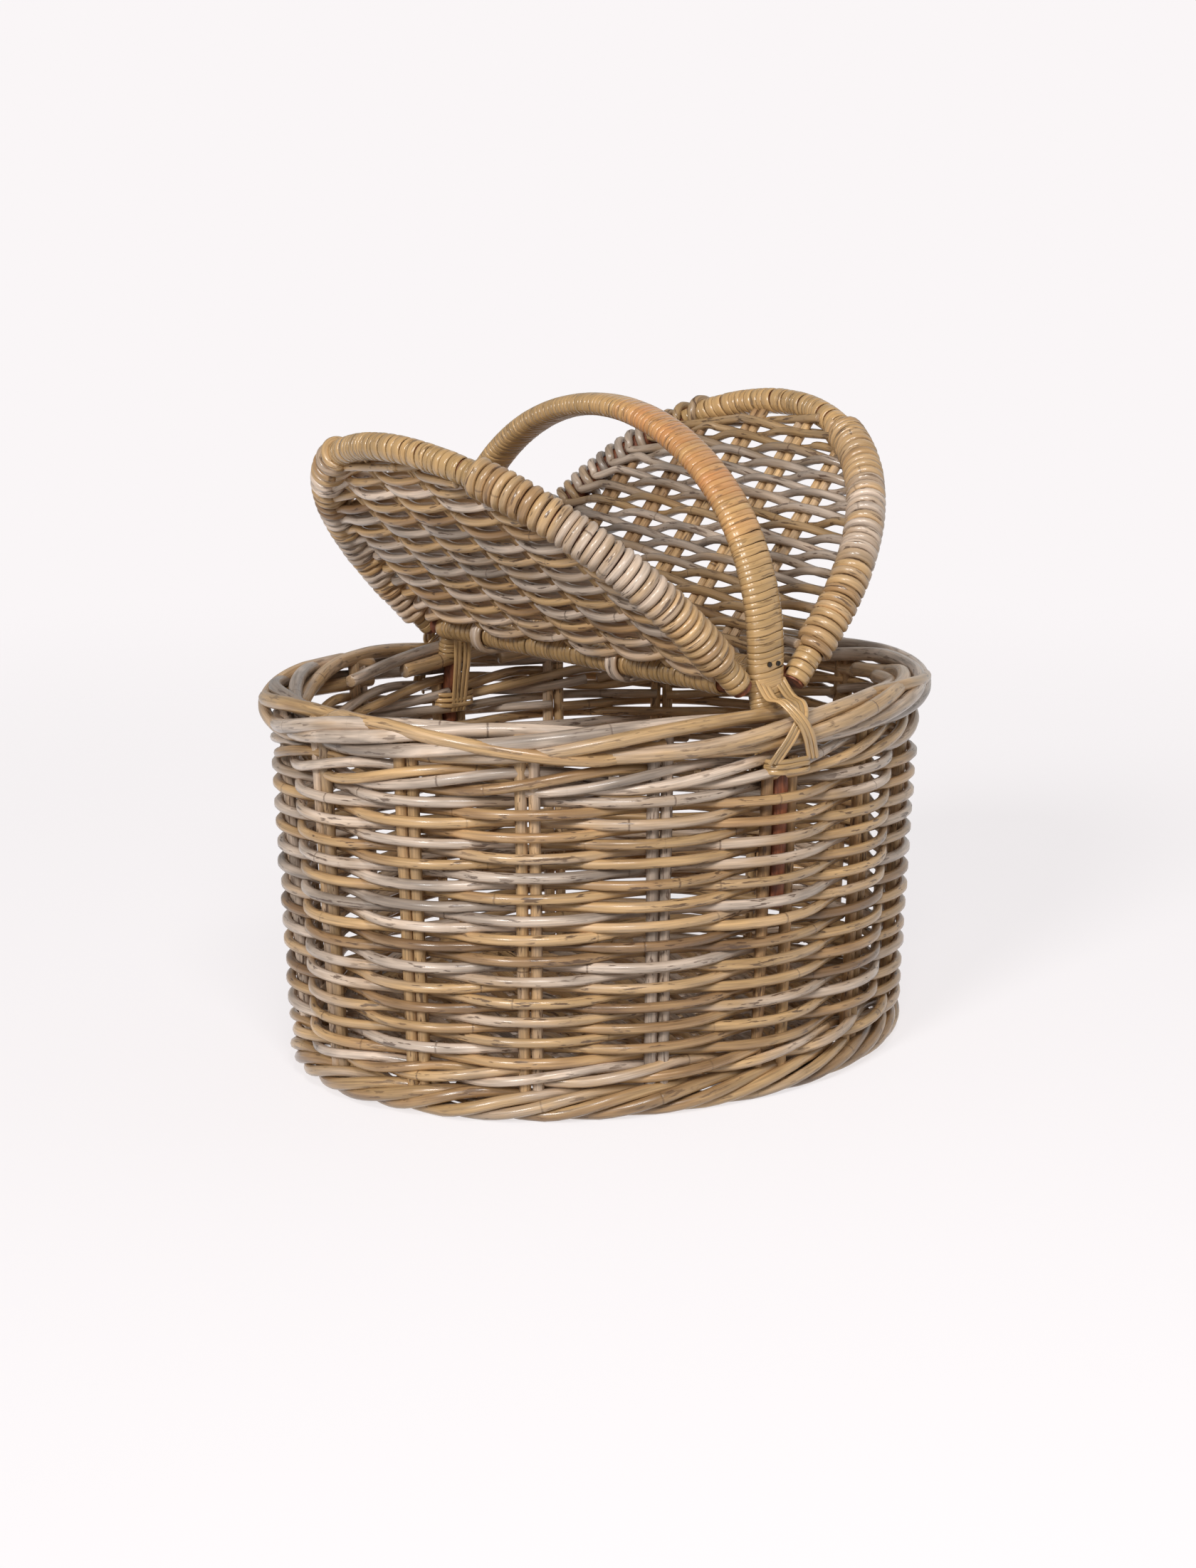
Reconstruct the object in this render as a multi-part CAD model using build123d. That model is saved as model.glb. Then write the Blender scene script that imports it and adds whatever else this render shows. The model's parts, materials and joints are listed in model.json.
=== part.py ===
from build123d import *
import os
from math import atan2, cos, degrees, pi, radians, sin, sqrt

# An oval picnic basket of round rattan rods, with two D-shaped lids that hinge on cane loops either side
# of a fixed, arched handle. X runs along the basket, Y across it and Z up. The origin is the centre of the
# footprint, on the floor. All sizes are in millimetres.

# Body: an oval wall that leans outwards, measured at the centre of its upright stakes
base_half_length = 211.0
base_half_width = 170.0
rim_half_length = 222.0
rim_half_width = 179.0
wall_height = 226.0  # floor to the underside of the rolled rim

# Woven wall
stake_diameter = 7.5
weaver_diameter = 7.0
stake_places = 16  # pairs of stakes, evenly spaced round the oval
stake_pair_gap = 1.5  # between the two stakes in a pair
stake_start = 6.0  # the stakes' lower ends, inside the foot border
stake_end_in_rim = 8.0  # how far below the rim's top the stakes stop

# Borders, as bands round the wall
foot_height = 22.0
foot_outset = 10.5
upsett_height = 14.0
top_wale_height = 20.0
rim_height = 27.0
rim_outset = 16.5
rim_inset = 14.0
rim_edge_radius = 7.0
foot_edge_radius = 6.0

# Woven base
base_underside = 9.0
base_rib_diameter = 7.0
base_weave_cover = 3.5  # over and under the ribs
base_rib_count = 7
base_rib_pitch = 38.0

# Handle: a bent pole with a rod down each side, wrapped in flat cane
handle_inset = 15.0  # pole centre at the straight foot of the arch, in from the stakes at the rim
handle_straight_rise = 29.4  # straight foot of the arch, above the rim's top
handle_pole_diameter = 11.6
handle_rod_diameter = 5.6
handle_cane_thickness = 1.4
section_flat = 0.1  # short flat left at the middle of the flat oval's rounded ends
handle_shoulder_radius = 135.0
handle_shoulder_turn = 50.0  # degrees
handle_bend_radius = 60.0
handle_root_depth = 101.0  # how far below the rim's underside the pole is woven in
handle_wrap_depth = 13.0  # how far the cane wrap goes down inside the rim
lashing_thickness = 2.5
lashing_width = 8.0
lashing_height = 21.0  # how far the crossed lashing reaches below the rim
tack_diameter = 3.2
tack_head = 1.0
tack_spacing = 7.0
tack_rise = 25.0  # above the rim's top

# Lids: a bent pole round a woven panel, on a straight hinge bar
lid_side_inset = 13.0  # pole centre, in from the stakes at the rim
lid_overhang = 6.5  # pole centre at the closed lid's tip, out from the stakes at the rim
lid_pole_diameter = 14.0
lid_pole_overrun = 4.0  # the pole's cut ends, past the hinge axis
lid_winding_diameter = 5.85  # round rods wound on the sides
lid_cane_thickness = 1.6  # flat cane round the tip and the cut ends
lid_end_wrap_length = 25.0
lid_tip_half_angle = 28.0  # degrees of the tip's arc wrapped in flat cane, either side of the middle
lid_rib_diameter = 6.5
lid_rib_pairs = 5
lid_rib_pitch = 50.0
lid_rib_shift = 12.0  # of the middle pair along the hinge bar, off the lid's own middle
lid_rib_gap = 1.5  # between the two ribs in a pair
lid_weave_cover = 3.25  # over and under the ribs
lid_seat_gap = 0.5  # under the closed lid, above the rim

# Hinges: each lid's bar turns in two cane loops that hold it to a crossbar between the handle's feet
bar_diameter = 12.6
bar_cane_thickness = 2.25
bar_wrap_end = 6.0  # bare bar at each end
loop_thickness = 3.2
loop_width = 13.0
loop_places = (-95.0, 54.0)  # along the right lid's bar; the left lid is the same, turned half round
lid_widest_opening = 80.0  # degrees from closed
open_clearance = 1.1  # between a lid at its widest opening and the handle
right_lid_open = 50.0  # degrees from closed, as modelled
left_lid_open = 44.0

# Clearances
fit_gap = 0.15  # round a rod in its hole or a wrap on its pole
butt_gap = 0.3  # at an end that meets a side
turning_gap = 0.3  # round a bar in its loop

# Heights and half sizes that follow
rim_top = wall_height + rim_height
upsett_top = foot_height + upsett_height
weave_top = wall_height - top_wale_height
wall_half_thickness = stake_diameter / 2 + weaver_diameter
base_thickness = base_rib_diameter + 2 * base_weave_cover
handle_half_span = rim_half_width - handle_inset
wrapped_half_width = handle_pole_diameter / 2 + handle_rod_diameter + 2 * fit_gap + handle_cane_thickness
wrapped_half_depth = handle_pole_diameter / 2 + fit_gap + handle_cane_thickness
lid_half_width = rim_half_width - lid_side_inset
lid_sleeve_diameter = lid_pole_diameter + 2 * fit_gap
lid_side_wrap_diameter = lid_sleeve_diameter + 2 * lid_winding_diameter
lid_cane_wrap_diameter = lid_sleeve_diameter + 2 * lid_cane_thickness
lid_side_wrap_start = lid_end_wrap_length - lid_pole_overrun + butt_gap
lid_panel_thickness = lid_rib_diameter + 2 * lid_weave_cover
bar_wrap_diameter = bar_diameter + 2 * (fit_gap + bar_cane_thickness)
loop_inner_radius = bar_wrap_diameter / 2 + turning_gap
loop_outer_radius = loop_inner_radius + loop_thickness
hinge_height = rim_top + lid_side_wrap_diameter / 2 + lid_seat_gap


def reach_past_hinge(wrap_radius, wrap_start):
    """How far a wrap on an opened lid's pole reaches past the hinge axis, towards the handle."""
    opening = radians(lid_widest_opening)
    return wrap_radius * sin(opening) - wrap_start * cos(opening)


# The hinge axis is as close to the handle as the widest opening lets it be
lid_reaches = (
    reach_past_hinge(lid_side_wrap_diameter / 2, lid_side_wrap_start),
    reach_past_hinge(lid_cane_wrap_diameter / 2, -lid_pole_overrun),
)
hinge_offset = wrapped_half_width + open_clearance + max(lid_reaches)
lid_reach = rim_half_length + lid_overhang - hinge_offset


def wall_half_axes(z):
    """Half length and half width of the stakes' surface at a height."""
    share = z / wall_height
    half_length = base_half_length + (rim_half_length - base_half_length) * share
    half_width = base_half_width + (rim_half_width - base_half_width) * share
    return half_length, half_width


def oval_solid(low, high, outset):
    """Tapered oval between two heights, grown outwards from the stakes' surface."""
    sections = []
    for z in (low, high):
        half_length, half_width = wall_half_axes(z)
        sections.append(Pos(0, 0, z) * Ellipse(half_length + outset, half_width + outset))
    return loft(sections, ruled=True)


def oval_band(low, high, outset, inset):
    """Ring of wall between two heights."""
    return oval_solid(low, high, outset) - oval_solid(low, high, -inset)


def rod(start, end, diameter):
    """Straight round rod between two points."""
    run = Vector(*end) - Vector(*start)
    along = Plane(origin=start, z_dir=run)
    return along * Cylinder(diameter / 2, run.length, align=(Align.CENTER, Align.CENTER, Align.MIN))


def stake_rods(growth=0.0):
    """The upright stakes, grown in diameter to cut their holes. The pair at each foot of the handle is
    spread to let the pole between, and stops under the rim."""
    rods = []
    spread = handle_pole_diameter + stake_diameter + 4 * fit_gap
    for place in range(stake_places):
        turn = 2 * pi * place / stake_places
        at_handle = place in (stake_places // 4, 3 * stake_places // 4)
        pitch = spread if at_handle else stake_diameter + stake_pair_gap
        top = wall_height if at_handle else rim_top - stake_end_in_rim
        half_length, half_width = wall_half_axes(wall_height / 2)
        along_wall = Vector(-half_length * sin(turn), half_width * cos(turn)).normalized()
        for side in (-1, 1):
            shift = along_wall * (side * pitch / 2)
            ends = []
            for z in (stake_start, top):
                half_length, half_width = wall_half_axes(z)
                ends.append((half_length * cos(turn) + shift.X, half_width * sin(turn) + shift.Y, z))
            rods.append(rod(ends[0], ends[1], stake_diameter + growth))
    return Compound(children=rods)


def handle_path():
    """The pole's centre line in the YZ plane: up inside the wall, in through the rim and over the arch."""
    shoulder_rise = cos(radians(handle_shoulder_turn))
    crown_radius = handle_shoulder_radius + (handle_half_span - handle_shoulder_radius) / shoulder_rise
    root = wall_height - handle_root_depth
    leg = (
        (-wall_half_axes(root)[1], root),
        (-wall_half_axes(weave_top)[1], weave_top),
        (-handle_half_span, rim_top + handle_wrap_depth),
        (-handle_half_span, rim_top + handle_straight_rise),
    )
    rise = FilletPolyline(*leg, radius=handle_bend_radius)
    shoulder = JernArc(rise @ 1, rise % 1, handle_shoulder_radius, -handle_shoulder_turn)
    crown = JernArc(shoulder @ 1, shoulder % 1, crown_radius, -(180 - 2 * handle_shoulder_turn))
    far_shoulder = JernArc(crown @ 1, crown % 1, handle_shoulder_radius, -handle_shoulder_turn)
    fall = FilletPolyline(*((-y, z) for y, z in reversed(leg)), radius=handle_bend_radius)
    return Plane.YZ * Wire([*rise.edges(), shoulder.edge(), crown.edge(), far_shoulder.edge(), *fall.edges()])


def along_path(path, section):
    """A section carried along a path, its first axis kept across the basket's handle plane."""
    start = Plane(origin=path @ 0, x_dir=(1, 0, 0), z_dir=path % 0)
    return sweep(start * section, path=path, transition=Transition.ROUND)


def handle_section(outset):
    """Flat oval round the wrapped pole and its two side rods, grown outwards."""
    half_width = wrapped_half_width + outset
    half_depth = wrapped_half_depth + outset
    return RectangleRounded(2 * half_width, 2 * half_depth, half_depth - section_flat)


def side_rod_sections():
    """The two side rods, either side of the pole."""
    offset = (handle_pole_diameter + handle_rod_diameter) / 2 + fit_gap
    return Pos(offset, 0) * Circle(handle_rod_diameter / 2), Pos(-offset, 0) * Circle(handle_rod_diameter / 2)


def lashing(side, wrap_hole):
    """Two crossed straps over the rim at a handle foot, with the strap that ties them to the wrapped pole."""
    low = wall_height - lashing_height
    inner, outer = rim_outset + fit_gap, rim_outset + fit_gap + lashing_thickness
    wall_inner = wall_half_thickness + fit_gap
    skin = oval_band(wall_height - lashing_thickness - fit_gap, rim_top + fit_gap, outer, -inner)
    skin += oval_band(low, wall_height - fit_gap, wall_inner + lashing_thickness, -wall_inner)
    skin += oval_band(wall_height - lashing_thickness - fit_gap, wall_height - fit_gap, outer, -wall_inner)
    across = 2 * (wrapped_half_width - lashing_width / 2)
    tall = rim_top + lashing_thickness - low
    tilt = degrees(atan2(across, tall))
    bar = Rectangle(lashing_width, 2 * tall)
    cross = (Rot(0, 0, tilt) * bar + Rot(0, 0, -tilt) * bar) & Rectangle(2 * wrapped_half_width, 2 * tall)
    cross += Pos(0, (lashing_width - tall) / 2) * Rectangle(2 * wrapped_half_width, lashing_width)
    reach = rim_half_width + rim_outset + 4 * lashing_thickness
    cross_prism = Rot(90, 0, 0) * extrude(cross, reach / 2, both=True)
    crossed = skin & (Pos(0, side * reach / 2, (low + rim_top) / 2) * cross_prism)
    outer_face = wall_half_axes(rim_top)[1] + outer
    pole_face = handle_half_span + handle_pole_diameter / 2
    top_strap = Pos(0, side * (pole_face + outer_face) / 2, rim_top + fit_gap) * Box(
        2 * wrapped_half_width,
        outer_face - pole_face,
        lashing_thickness,
        align=(Align.CENTER, Align.CENTER, Align.MIN),
    )
    top_strap &= oval_solid(rim_top, rim_top + fit_gap + lashing_thickness, outer)
    return crossed + (top_strap - wrap_hole)


def half_turn(side):
    """Nothing for the right lid, half a turn about the vertical for the left one."""
    return Rot(0, 0, 0 if side > 0 else 180)


def stadium(length, radius):
    """Two equal circles a length apart, joined by their tangents, in the XZ plane."""
    return Plane.XZ * (Pos(length / 2, 0) * SlotCenterToCenter(length, 2 * radius))


def hinge_loop(side, place):
    """Cane loop round the crossbar and one lid's bar."""
    section = stadium(hinge_offset, loop_outer_radius) - stadium(hinge_offset, loop_inner_radius)
    ring = extrude(section, loop_width / 2, both=True)
    return half_turn(side) * Pos(0, place, hinge_height) * ring


def tube_section(outer, inner):
    """Ring between two diameters."""
    return Circle(outer / 2) - Circle(inner / 2)


def tube_along_y(outer, inner, length):
    """Straight tube centred on the Y axis."""
    return extrude(Plane.XZ * tube_section(outer, inner), length / 2, both=True)


class LidParts:
    """One lid's pieces, laid flat with the hinge bar along Y and the tip towards +X."""

    straight = lid_reach - lid_half_width  # side length before the half-round tip
    bar_end = lid_half_width - lid_cane_wrap_diameter / 2 - butt_gap
    loop_edge = loop_outer_radius + 3 * butt_gap

    def side_run(self, first, last, side):
        """Straight stretch of the pole's centre line along one side."""
        return Line((first, side * lid_half_width), (last, side * lid_half_width))

    def tip_arc(self, first, last):
        """Stretch of the pole's half-round centre line between two angles."""
        return CenterArc((self.straight, 0), lid_half_width, first, last - first)

    def carried(self, edges, section):
        """A section carried along the pole's centre line."""
        path = Wire(edges)
        return sweep(Plane(origin=path @ 0, z_dir=path % 0) * section, path=path)

    def frame_pole(self):
        edges = [
            self.side_run(-lid_pole_overrun, self.straight, -1).edge(),
            self.tip_arc(-90, 90).edge(),
            self.side_run(self.straight, -lid_pole_overrun, 1).edge(),
        ]
        return self.carried(edges, Circle(lid_pole_diameter / 2))

    def side_wrap(self, side):
        """Round rods wound on one side of the pole, from the flat end wrap to the flat tip wrap."""
        edges = [
            self.side_run(lid_side_wrap_start, self.straight, -1).edge(),
            self.tip_arc(-90, -lid_tip_half_angle).edge(),
        ]
        wrap = self.carried(edges, tube_section(lid_side_wrap_diameter, lid_sleeve_diameter))
        return wrap if side < 0 else mirror(wrap, Plane.XZ)

    def tip_wrap(self):
        gap_angle = degrees(butt_gap / lid_half_width)
        half_angle = lid_tip_half_angle - gap_angle
        run = self.tip_arc(-half_angle, half_angle)
        return self.carried([run.edge()], tube_section(lid_cane_wrap_diameter, lid_sleeve_diameter))

    def end_wrap(self, side):
        """Flat cane round the pole's cut end."""
        run = self.side_run(butt_gap - lid_pole_overrun, lid_end_wrap_length - lid_pole_overrun, side)
        return self.carried([run.edge()], tube_section(lid_cane_wrap_diameter, lid_sleeve_diameter))

    def hinge_bar(self):
        return extrude(Plane.XZ * Circle(bar_diameter / 2), self.bar_end, both=True)

    def bar_wrap(self):
        return tube_along_y(bar_wrap_diameter, bar_diameter + 2 * fit_gap, 2 * (self.bar_end - bar_wrap_end))

    def outline(self, inset):
        """The D inside the pole's centre line, moved in."""
        radius = lid_half_width - inset
        start = bar_wrap_diameter / 2 + butt_gap
        body = Pos((start + self.straight) / 2, 0) * Rectangle(self.straight - start, 2 * radius)
        tip = Pos(self.straight, 0) * Circle(radius)
        beyond_bar = Pos(start, 0) * Rectangle(2 * lid_reach, 4 * radius, align=(Align.MIN, Align.CENTER))
        return body + (tip & beyond_bar)

    def ribs(self, growth=0.0):
        """Pairs of rods inside the weave, from the hinge bar, or just past a hinge loop, to the tip."""
        rods = []
        loop_room = (loop_width + lid_rib_diameter) / 2 + 3 * butt_gap
        radius = lid_half_width - lid_side_wrap_diameter / 2 - 2 * butt_gap
        for pair in range(lid_rib_pairs):
            middle = lid_rib_shift + (pair - (lid_rib_pairs - 1) / 2) * lid_rib_pitch
            for side in (-1, 1):
                y = middle + side * (lid_rib_diameter + lid_rib_gap) / 2
                outer_side = abs(y) + lid_rib_diameter / 2
                reach = self.straight + sqrt(radius**2 - outer_side**2) - butt_gap
                at_loop = any(abs(y - place) < loop_room for place in loop_places)
                start = self.loop_edge if at_loop else bar_wrap_diameter / 2 + 2 * butt_gap
                rods.append(rod((start, y, 0), (reach, y, 0), lid_rib_diameter + growth))
        return Compound(children=rods)

    def panel(self):
        """Woven panel inside the wrapped pole, notched round the two hinge loops."""
        face = self.outline(lid_side_wrap_diameter / 2 + butt_gap)
        wedge_reach = 2 * lid_half_width
        half_angle = radians(lid_tip_half_angle - 1)
        corner = (self.straight + wedge_reach * cos(half_angle), wedge_reach * sin(half_angle))
        wedge = make_face(Polyline((self.straight, 0), corner, (corner[0], -corner[1]), (self.straight, 0)))
        face += self.outline(lid_cane_wrap_diameter / 2 + butt_gap) & wedge
        for place in loop_places:
            face -= Pos(0, place) * Rectangle(2 * self.loop_edge, loop_width + 6 * butt_gap)
        return extrude(face, lid_panel_thickness / 2, both=True) - self.ribs(growth=2 * fit_gap)


def place_lid(shape, side, open_angle):
    """Swing a flat lid piece open and set it on its hinge axis. The left lid is the right one turned half
    round."""
    on_axis = Pos(hinge_offset, 0, hinge_height) * Rot(0, -open_angle, 0) * shape
    return half_turn(side) * on_axis


def base_ribs(growth=0.0):
    """Rods that run the length of the woven base."""
    middle = base_underside + base_thickness / 2
    half_length, half_width = (size - wall_half_thickness - 2 * butt_gap for size in wall_half_axes(0))
    rods = []
    for number in range(base_rib_count):
        y = (number - (base_rib_count - 1) / 2) * base_rib_pitch
        reach = half_length * sqrt(1 - ((abs(y) + base_rib_diameter / 2) / half_width) ** 2)
        rods.append(rod((-reach, y, middle), (reach, y, middle), base_rib_diameter + growth))
    return Compound(children=rods)


def handle_tacks():
    """Nail heads at the start of the cane, on the outer face of each foot of the arch."""
    tacks = []
    head = Cylinder(tack_diameter / 2, tack_head, align=(Align.CENTER, Align.CENTER, Align.MIN))
    for side in (-1, 1):
        face = side * (handle_half_span + wrapped_half_depth)
        for across in (-tack_spacing / 2, tack_spacing / 2):
            tacks.append(Pos(across, face, rim_top + tack_rise) * Rot(-90 * side, 0, 0) * head)
    return Compound(children=tacks)


def basket_parts():
    """Every piece of the basket's fixed body."""
    path = handle_path()
    stake_holes = stake_rods(growth=2 * fit_gap)
    pole_hole = along_path(path, Circle(handle_pole_diameter / 2 + fit_gap))
    wrap_hole = along_path(path, handle_section(fit_gap))
    wrap_start = rim_top - handle_wrap_depth
    block = 4 * rim_half_width
    above_wrap_start = Pos(0, 0, wrap_start + block / 2) * Box(block, block, block)

    foot = oval_band(0, foot_height, foot_outset, wall_half_thickness)
    foot = fillet(foot.edges().group_by(Axis.Z)[0].sort_by(SortBy.LENGTH)[-1:], foot_edge_radius)
    rim = oval_band(wall_height, rim_top, rim_outset, rim_inset)
    rim = fillet(rim.edges().group_by(Axis.Z)[-1], rim_edge_radius)

    slab = oval_solid(base_underside, base_underside + base_thickness, -wall_half_thickness - butt_gap)

    crossbar_end = handle_half_span - wrapped_half_depth - butt_gap
    crossbar_wrap_length = 2 * (crossbar_end - bar_wrap_end)
    crossbar_tube = tube_along_y(bar_wrap_diameter, bar_diameter + 2 * fit_gap, crossbar_wrap_length)
    woven = (wall_half_thickness, wall_half_thickness)
    cane = handle_section(0) - handle_section(-handle_cane_thickness)
    side_rods = [(along_path(path, section) & above_wrap_start).solid() for section in side_rod_sections()]

    parts = {
        "base_weave": slab - base_ribs(growth=2 * fit_gap),
        "base_ribs": base_ribs(),
        "foot_border": foot - stake_holes,
        "upsett_wale": oval_band(foot_height, upsett_top, *woven) - stake_holes,
        "side_stakes": stake_rods(),
        "side_weave": oval_band(upsett_top, weave_top, *woven) - stake_holes - pole_hole,
        "top_wale": oval_band(weave_top, wall_height, *woven) - stake_holes - pole_hole,
        "rim_border": rim - stake_holes - wrap_hole,
        "handle_pole": along_path(path, Circle(handle_pole_diameter / 2)),
        "handle_side_rods": Compound(children=side_rods),
        "handle_cane_wrap": along_path(path, cane) & above_wrap_start,
        "front_handle_lashing": lashing(-1, wrap_hole),
        "rear_handle_lashing": lashing(1, wrap_hole),
        "handle_tacks": handle_tacks(),
        "crossbar": Pos(0, 0, hinge_height) * rod((0, -crossbar_end, 0), (0, crossbar_end, 0), bar_diameter),
        "crossbar_cane_wrap": Pos(0, 0, hinge_height) * crossbar_tube,
    }
    for side, lid in ((1, "right"), (-1, "left")):
        for place in loop_places:
            end = "front" if place * side < 0 else "rear"
            parts[f"{lid}_{end}_hinge_loop"] = hinge_loop(side, place)
    return parts


def lid_parts(side, open_angle, name):
    """Every piece of one lid, in place."""
    lid = LidParts()
    flat = {
        "frame_pole": lid.frame_pole(),
        "hinge_bar": lid.hinge_bar(),
        "bar_cane_wrap": lid.bar_wrap(),
        "ribs": lid.ribs(),
        "woven_panel": lid.panel(),
        "tip_cane_wrap": lid.tip_wrap(),
    }
    for end_side in (-1, 1):
        end = "front" if end_side * side < 0 else "rear"
        flat[f"{end}_side_wrap"] = lid.side_wrap(end_side)
        flat[f"{end}_end_wrap"] = lid.end_wrap(end_side)
    return {f"{name}_lid_{part}": place_lid(shape, side, open_angle) for part, shape in flat.items()}


os.makedirs("parts", exist_ok=True)
everything = {
    **basket_parts(),
    **lid_parts(1, right_lid_open, "right"),
    **lid_parts(-1, left_lid_open, "left"),
}
for node, shape in everything.items():
    export_step(shape, f"parts/{node}.step")
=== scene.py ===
"""Woven rattan picnic basket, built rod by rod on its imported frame.

Every rod, turn of cane and lashing is a section carried along its own path. The paths hang on four
centre lines that are read from the frame: the oval wall, the handle's arch, and each lid's bent pole
and hinge bar. All sizes are in metres.
"""

import json
import logging
import math
from collections.abc import Callable
from dataclasses import dataclass, field
from enum import Enum

import bpy
import numpy as np
from mathutils import Matrix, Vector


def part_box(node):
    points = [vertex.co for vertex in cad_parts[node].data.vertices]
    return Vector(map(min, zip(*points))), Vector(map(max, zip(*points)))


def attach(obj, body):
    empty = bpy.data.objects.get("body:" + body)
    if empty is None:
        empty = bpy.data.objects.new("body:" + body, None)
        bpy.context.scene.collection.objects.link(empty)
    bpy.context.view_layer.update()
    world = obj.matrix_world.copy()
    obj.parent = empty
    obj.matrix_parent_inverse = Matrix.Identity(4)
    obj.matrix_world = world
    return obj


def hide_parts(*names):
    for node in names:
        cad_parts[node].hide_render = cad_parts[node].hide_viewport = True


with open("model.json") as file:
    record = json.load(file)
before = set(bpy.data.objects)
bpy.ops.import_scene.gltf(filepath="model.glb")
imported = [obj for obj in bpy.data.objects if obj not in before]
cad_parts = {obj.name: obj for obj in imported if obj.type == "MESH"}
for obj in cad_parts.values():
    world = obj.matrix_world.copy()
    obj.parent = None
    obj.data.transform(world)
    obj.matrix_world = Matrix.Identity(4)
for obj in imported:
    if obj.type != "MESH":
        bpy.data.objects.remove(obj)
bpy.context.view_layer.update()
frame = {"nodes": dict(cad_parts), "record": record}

Array = np.ndarray
Hue = Callable[[Array], Array]
MM = 0.001
RING_GAP = (0.1, 0.3)  # least and greatest run between two growth rings on a rod
RING_SPREAD = 0.004  # how far along a rod the swelling at a growth ring reaches
END_EASE = 0.13  # how far a strand's end is rounded, as a share of its half depth
END_SIZE = 0.86  # size of the end face, as a share of the section
UP = np.array([0.0, 0.0, 1.0])
LOG = logging.getLogger("basket")


# ---------------------------------------------------------------- numbers and lines


def unit(vectors: Array) -> Array:
    """Vectors of length one in the same directions, along the last axis."""
    return vectors / np.linalg.norm(vectors, axis=-1, keepdims=True)


def stacked(*columns: Array | float) -> Array:
    """Columns side by side as one array of points, each broadcast to the longest."""
    return np.stack(np.broadcast_arrays(*columns), axis=-1).astype(float)


def eased(share: Array) -> Array:
    """Smooth step: three times the square less twice the cube, between nought and one."""
    held = np.clip(share, 0.0, 1.0)
    return held * held * (3 - 2 * held)


def wobble(count: int, knots: int, rng: np.random.Generator) -> Array:
    """Smooth random wander.

    Random heights at evenly spaced knots, joined by smooth steps.

    Args:
        count: How many samples to return.
        knots: How many random heights there are.
        rng: The source of chance.

    Returns:
        Values mostly between minus one and one.
    """
    heights = rng.normal(0.0, 0.5, knots + 2)
    run = np.linspace(0, knots, count)
    low = np.minimum(run.astype(int), knots)
    return heights[low] + (heights[low + 1] - heights[low]) * eased(run - low)


def rod_hue(rng: np.random.Generator, honey_share: float, honey: tuple, grey: tuple) -> float:
    """Hue of one rod, drawn from honey or grey.

    Args:
        rng: The source of chance.
        honey_share: Share of the rods that are honey.
        honey: Usual hue of a honey rod and how far it strays.
        grey: The same for a grey rod.

    Returns:
        Place on the finish's run of colours.
    """
    return float(rng.normal(*honey) if rng.uniform() < honey_share else rng.normal(*grey))


def smooth_run(points: Array, per_span: int = 6) -> Array:
    """Smooth line through a few points.

    The cubic between two points leaves each along the line that joins its two neighbours.

    Args:
        points: The points to pass through, one per row.
        per_span: Samples from one point to the next.

    Returns:
        The sampled line, one point per row.
    """
    padded = np.concatenate([2 * points[:1] - points[1:2], points, 2 * points[-1:] - points[-2:-1]])
    before, start, end, after = padded[:-3, None], padded[1:-2, None], padded[2:-1, None], padded[3:, None]
    share = (np.arange(per_span) / per_span)[None, :, None]
    cubic = (
        2 * start
        + (end - before) * share
        + (2 * before - 5 * start + 4 * end - after) * share**2
        + (3 * start - before - 3 * end + after) * share**3
    ) / 2
    return np.concatenate([cubic.reshape(-1, points.shape[1]), points[-1:]])


@dataclass(frozen=True)
class Spine:
    """Centre line of a pole or bar, with the directions that a wrap needs."""

    run: Array
    place: Array
    out: Array
    side: Array

    @classmethod
    def bent(cls, start: Array, heading: float, bends: list[tuple[float, float]], axes: Array) -> "Spine":
        """Line of constant-curvature stretches in a plane.

        The heading turns evenly over each stretch, and the line is the running sum of its small steps.

        Args:
            start: First point.
            heading: Angle of the first step, from the plane's first axis, in radians.
            bends: Length and turn of each stretch.
            axes: The plane's two axes and its normal, one per row.

        Returns:
            The sampled line; its outward direction is to the right of the line's run.
        """
        lengths, turns = (np.array(column) for column in zip(*bends))
        knots = np.concatenate([[0.0], np.cumsum(lengths)])
        headings = heading + np.concatenate([[0.0], np.cumsum(turns)])
        run = np.linspace(0.0, knots[-1], 1200)
        angle = np.interp(run, knots, headings)
        middle = (angle[1:] + angle[:-1]) / 2
        steps = stacked(np.cos(middle), np.sin(middle)) * (run[1] - run[0])
        flat = np.concatenate([[[0.0, 0.0]], np.cumsum(steps, axis=0)])
        out = stacked(np.sin(angle), -np.cos(angle))
        return cls(run, start + flat @ axes[:2], out @ axes[:2], axes[2])

    def at(self, run: Array) -> tuple[Array, Array, Array]:
        """Point, run direction and outward direction at some lengths along the line."""
        place = stacked(*(np.interp(run, self.run, self.place[:, axis]) for axis in range(3)))
        out = unit(stacked(*(np.interp(run, self.run, self.out[:, axis]) for axis in range(3))))
        return place, unit(np.cross(out, self.side)), out


# ---------------------------------------------------------------- meshes


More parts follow.
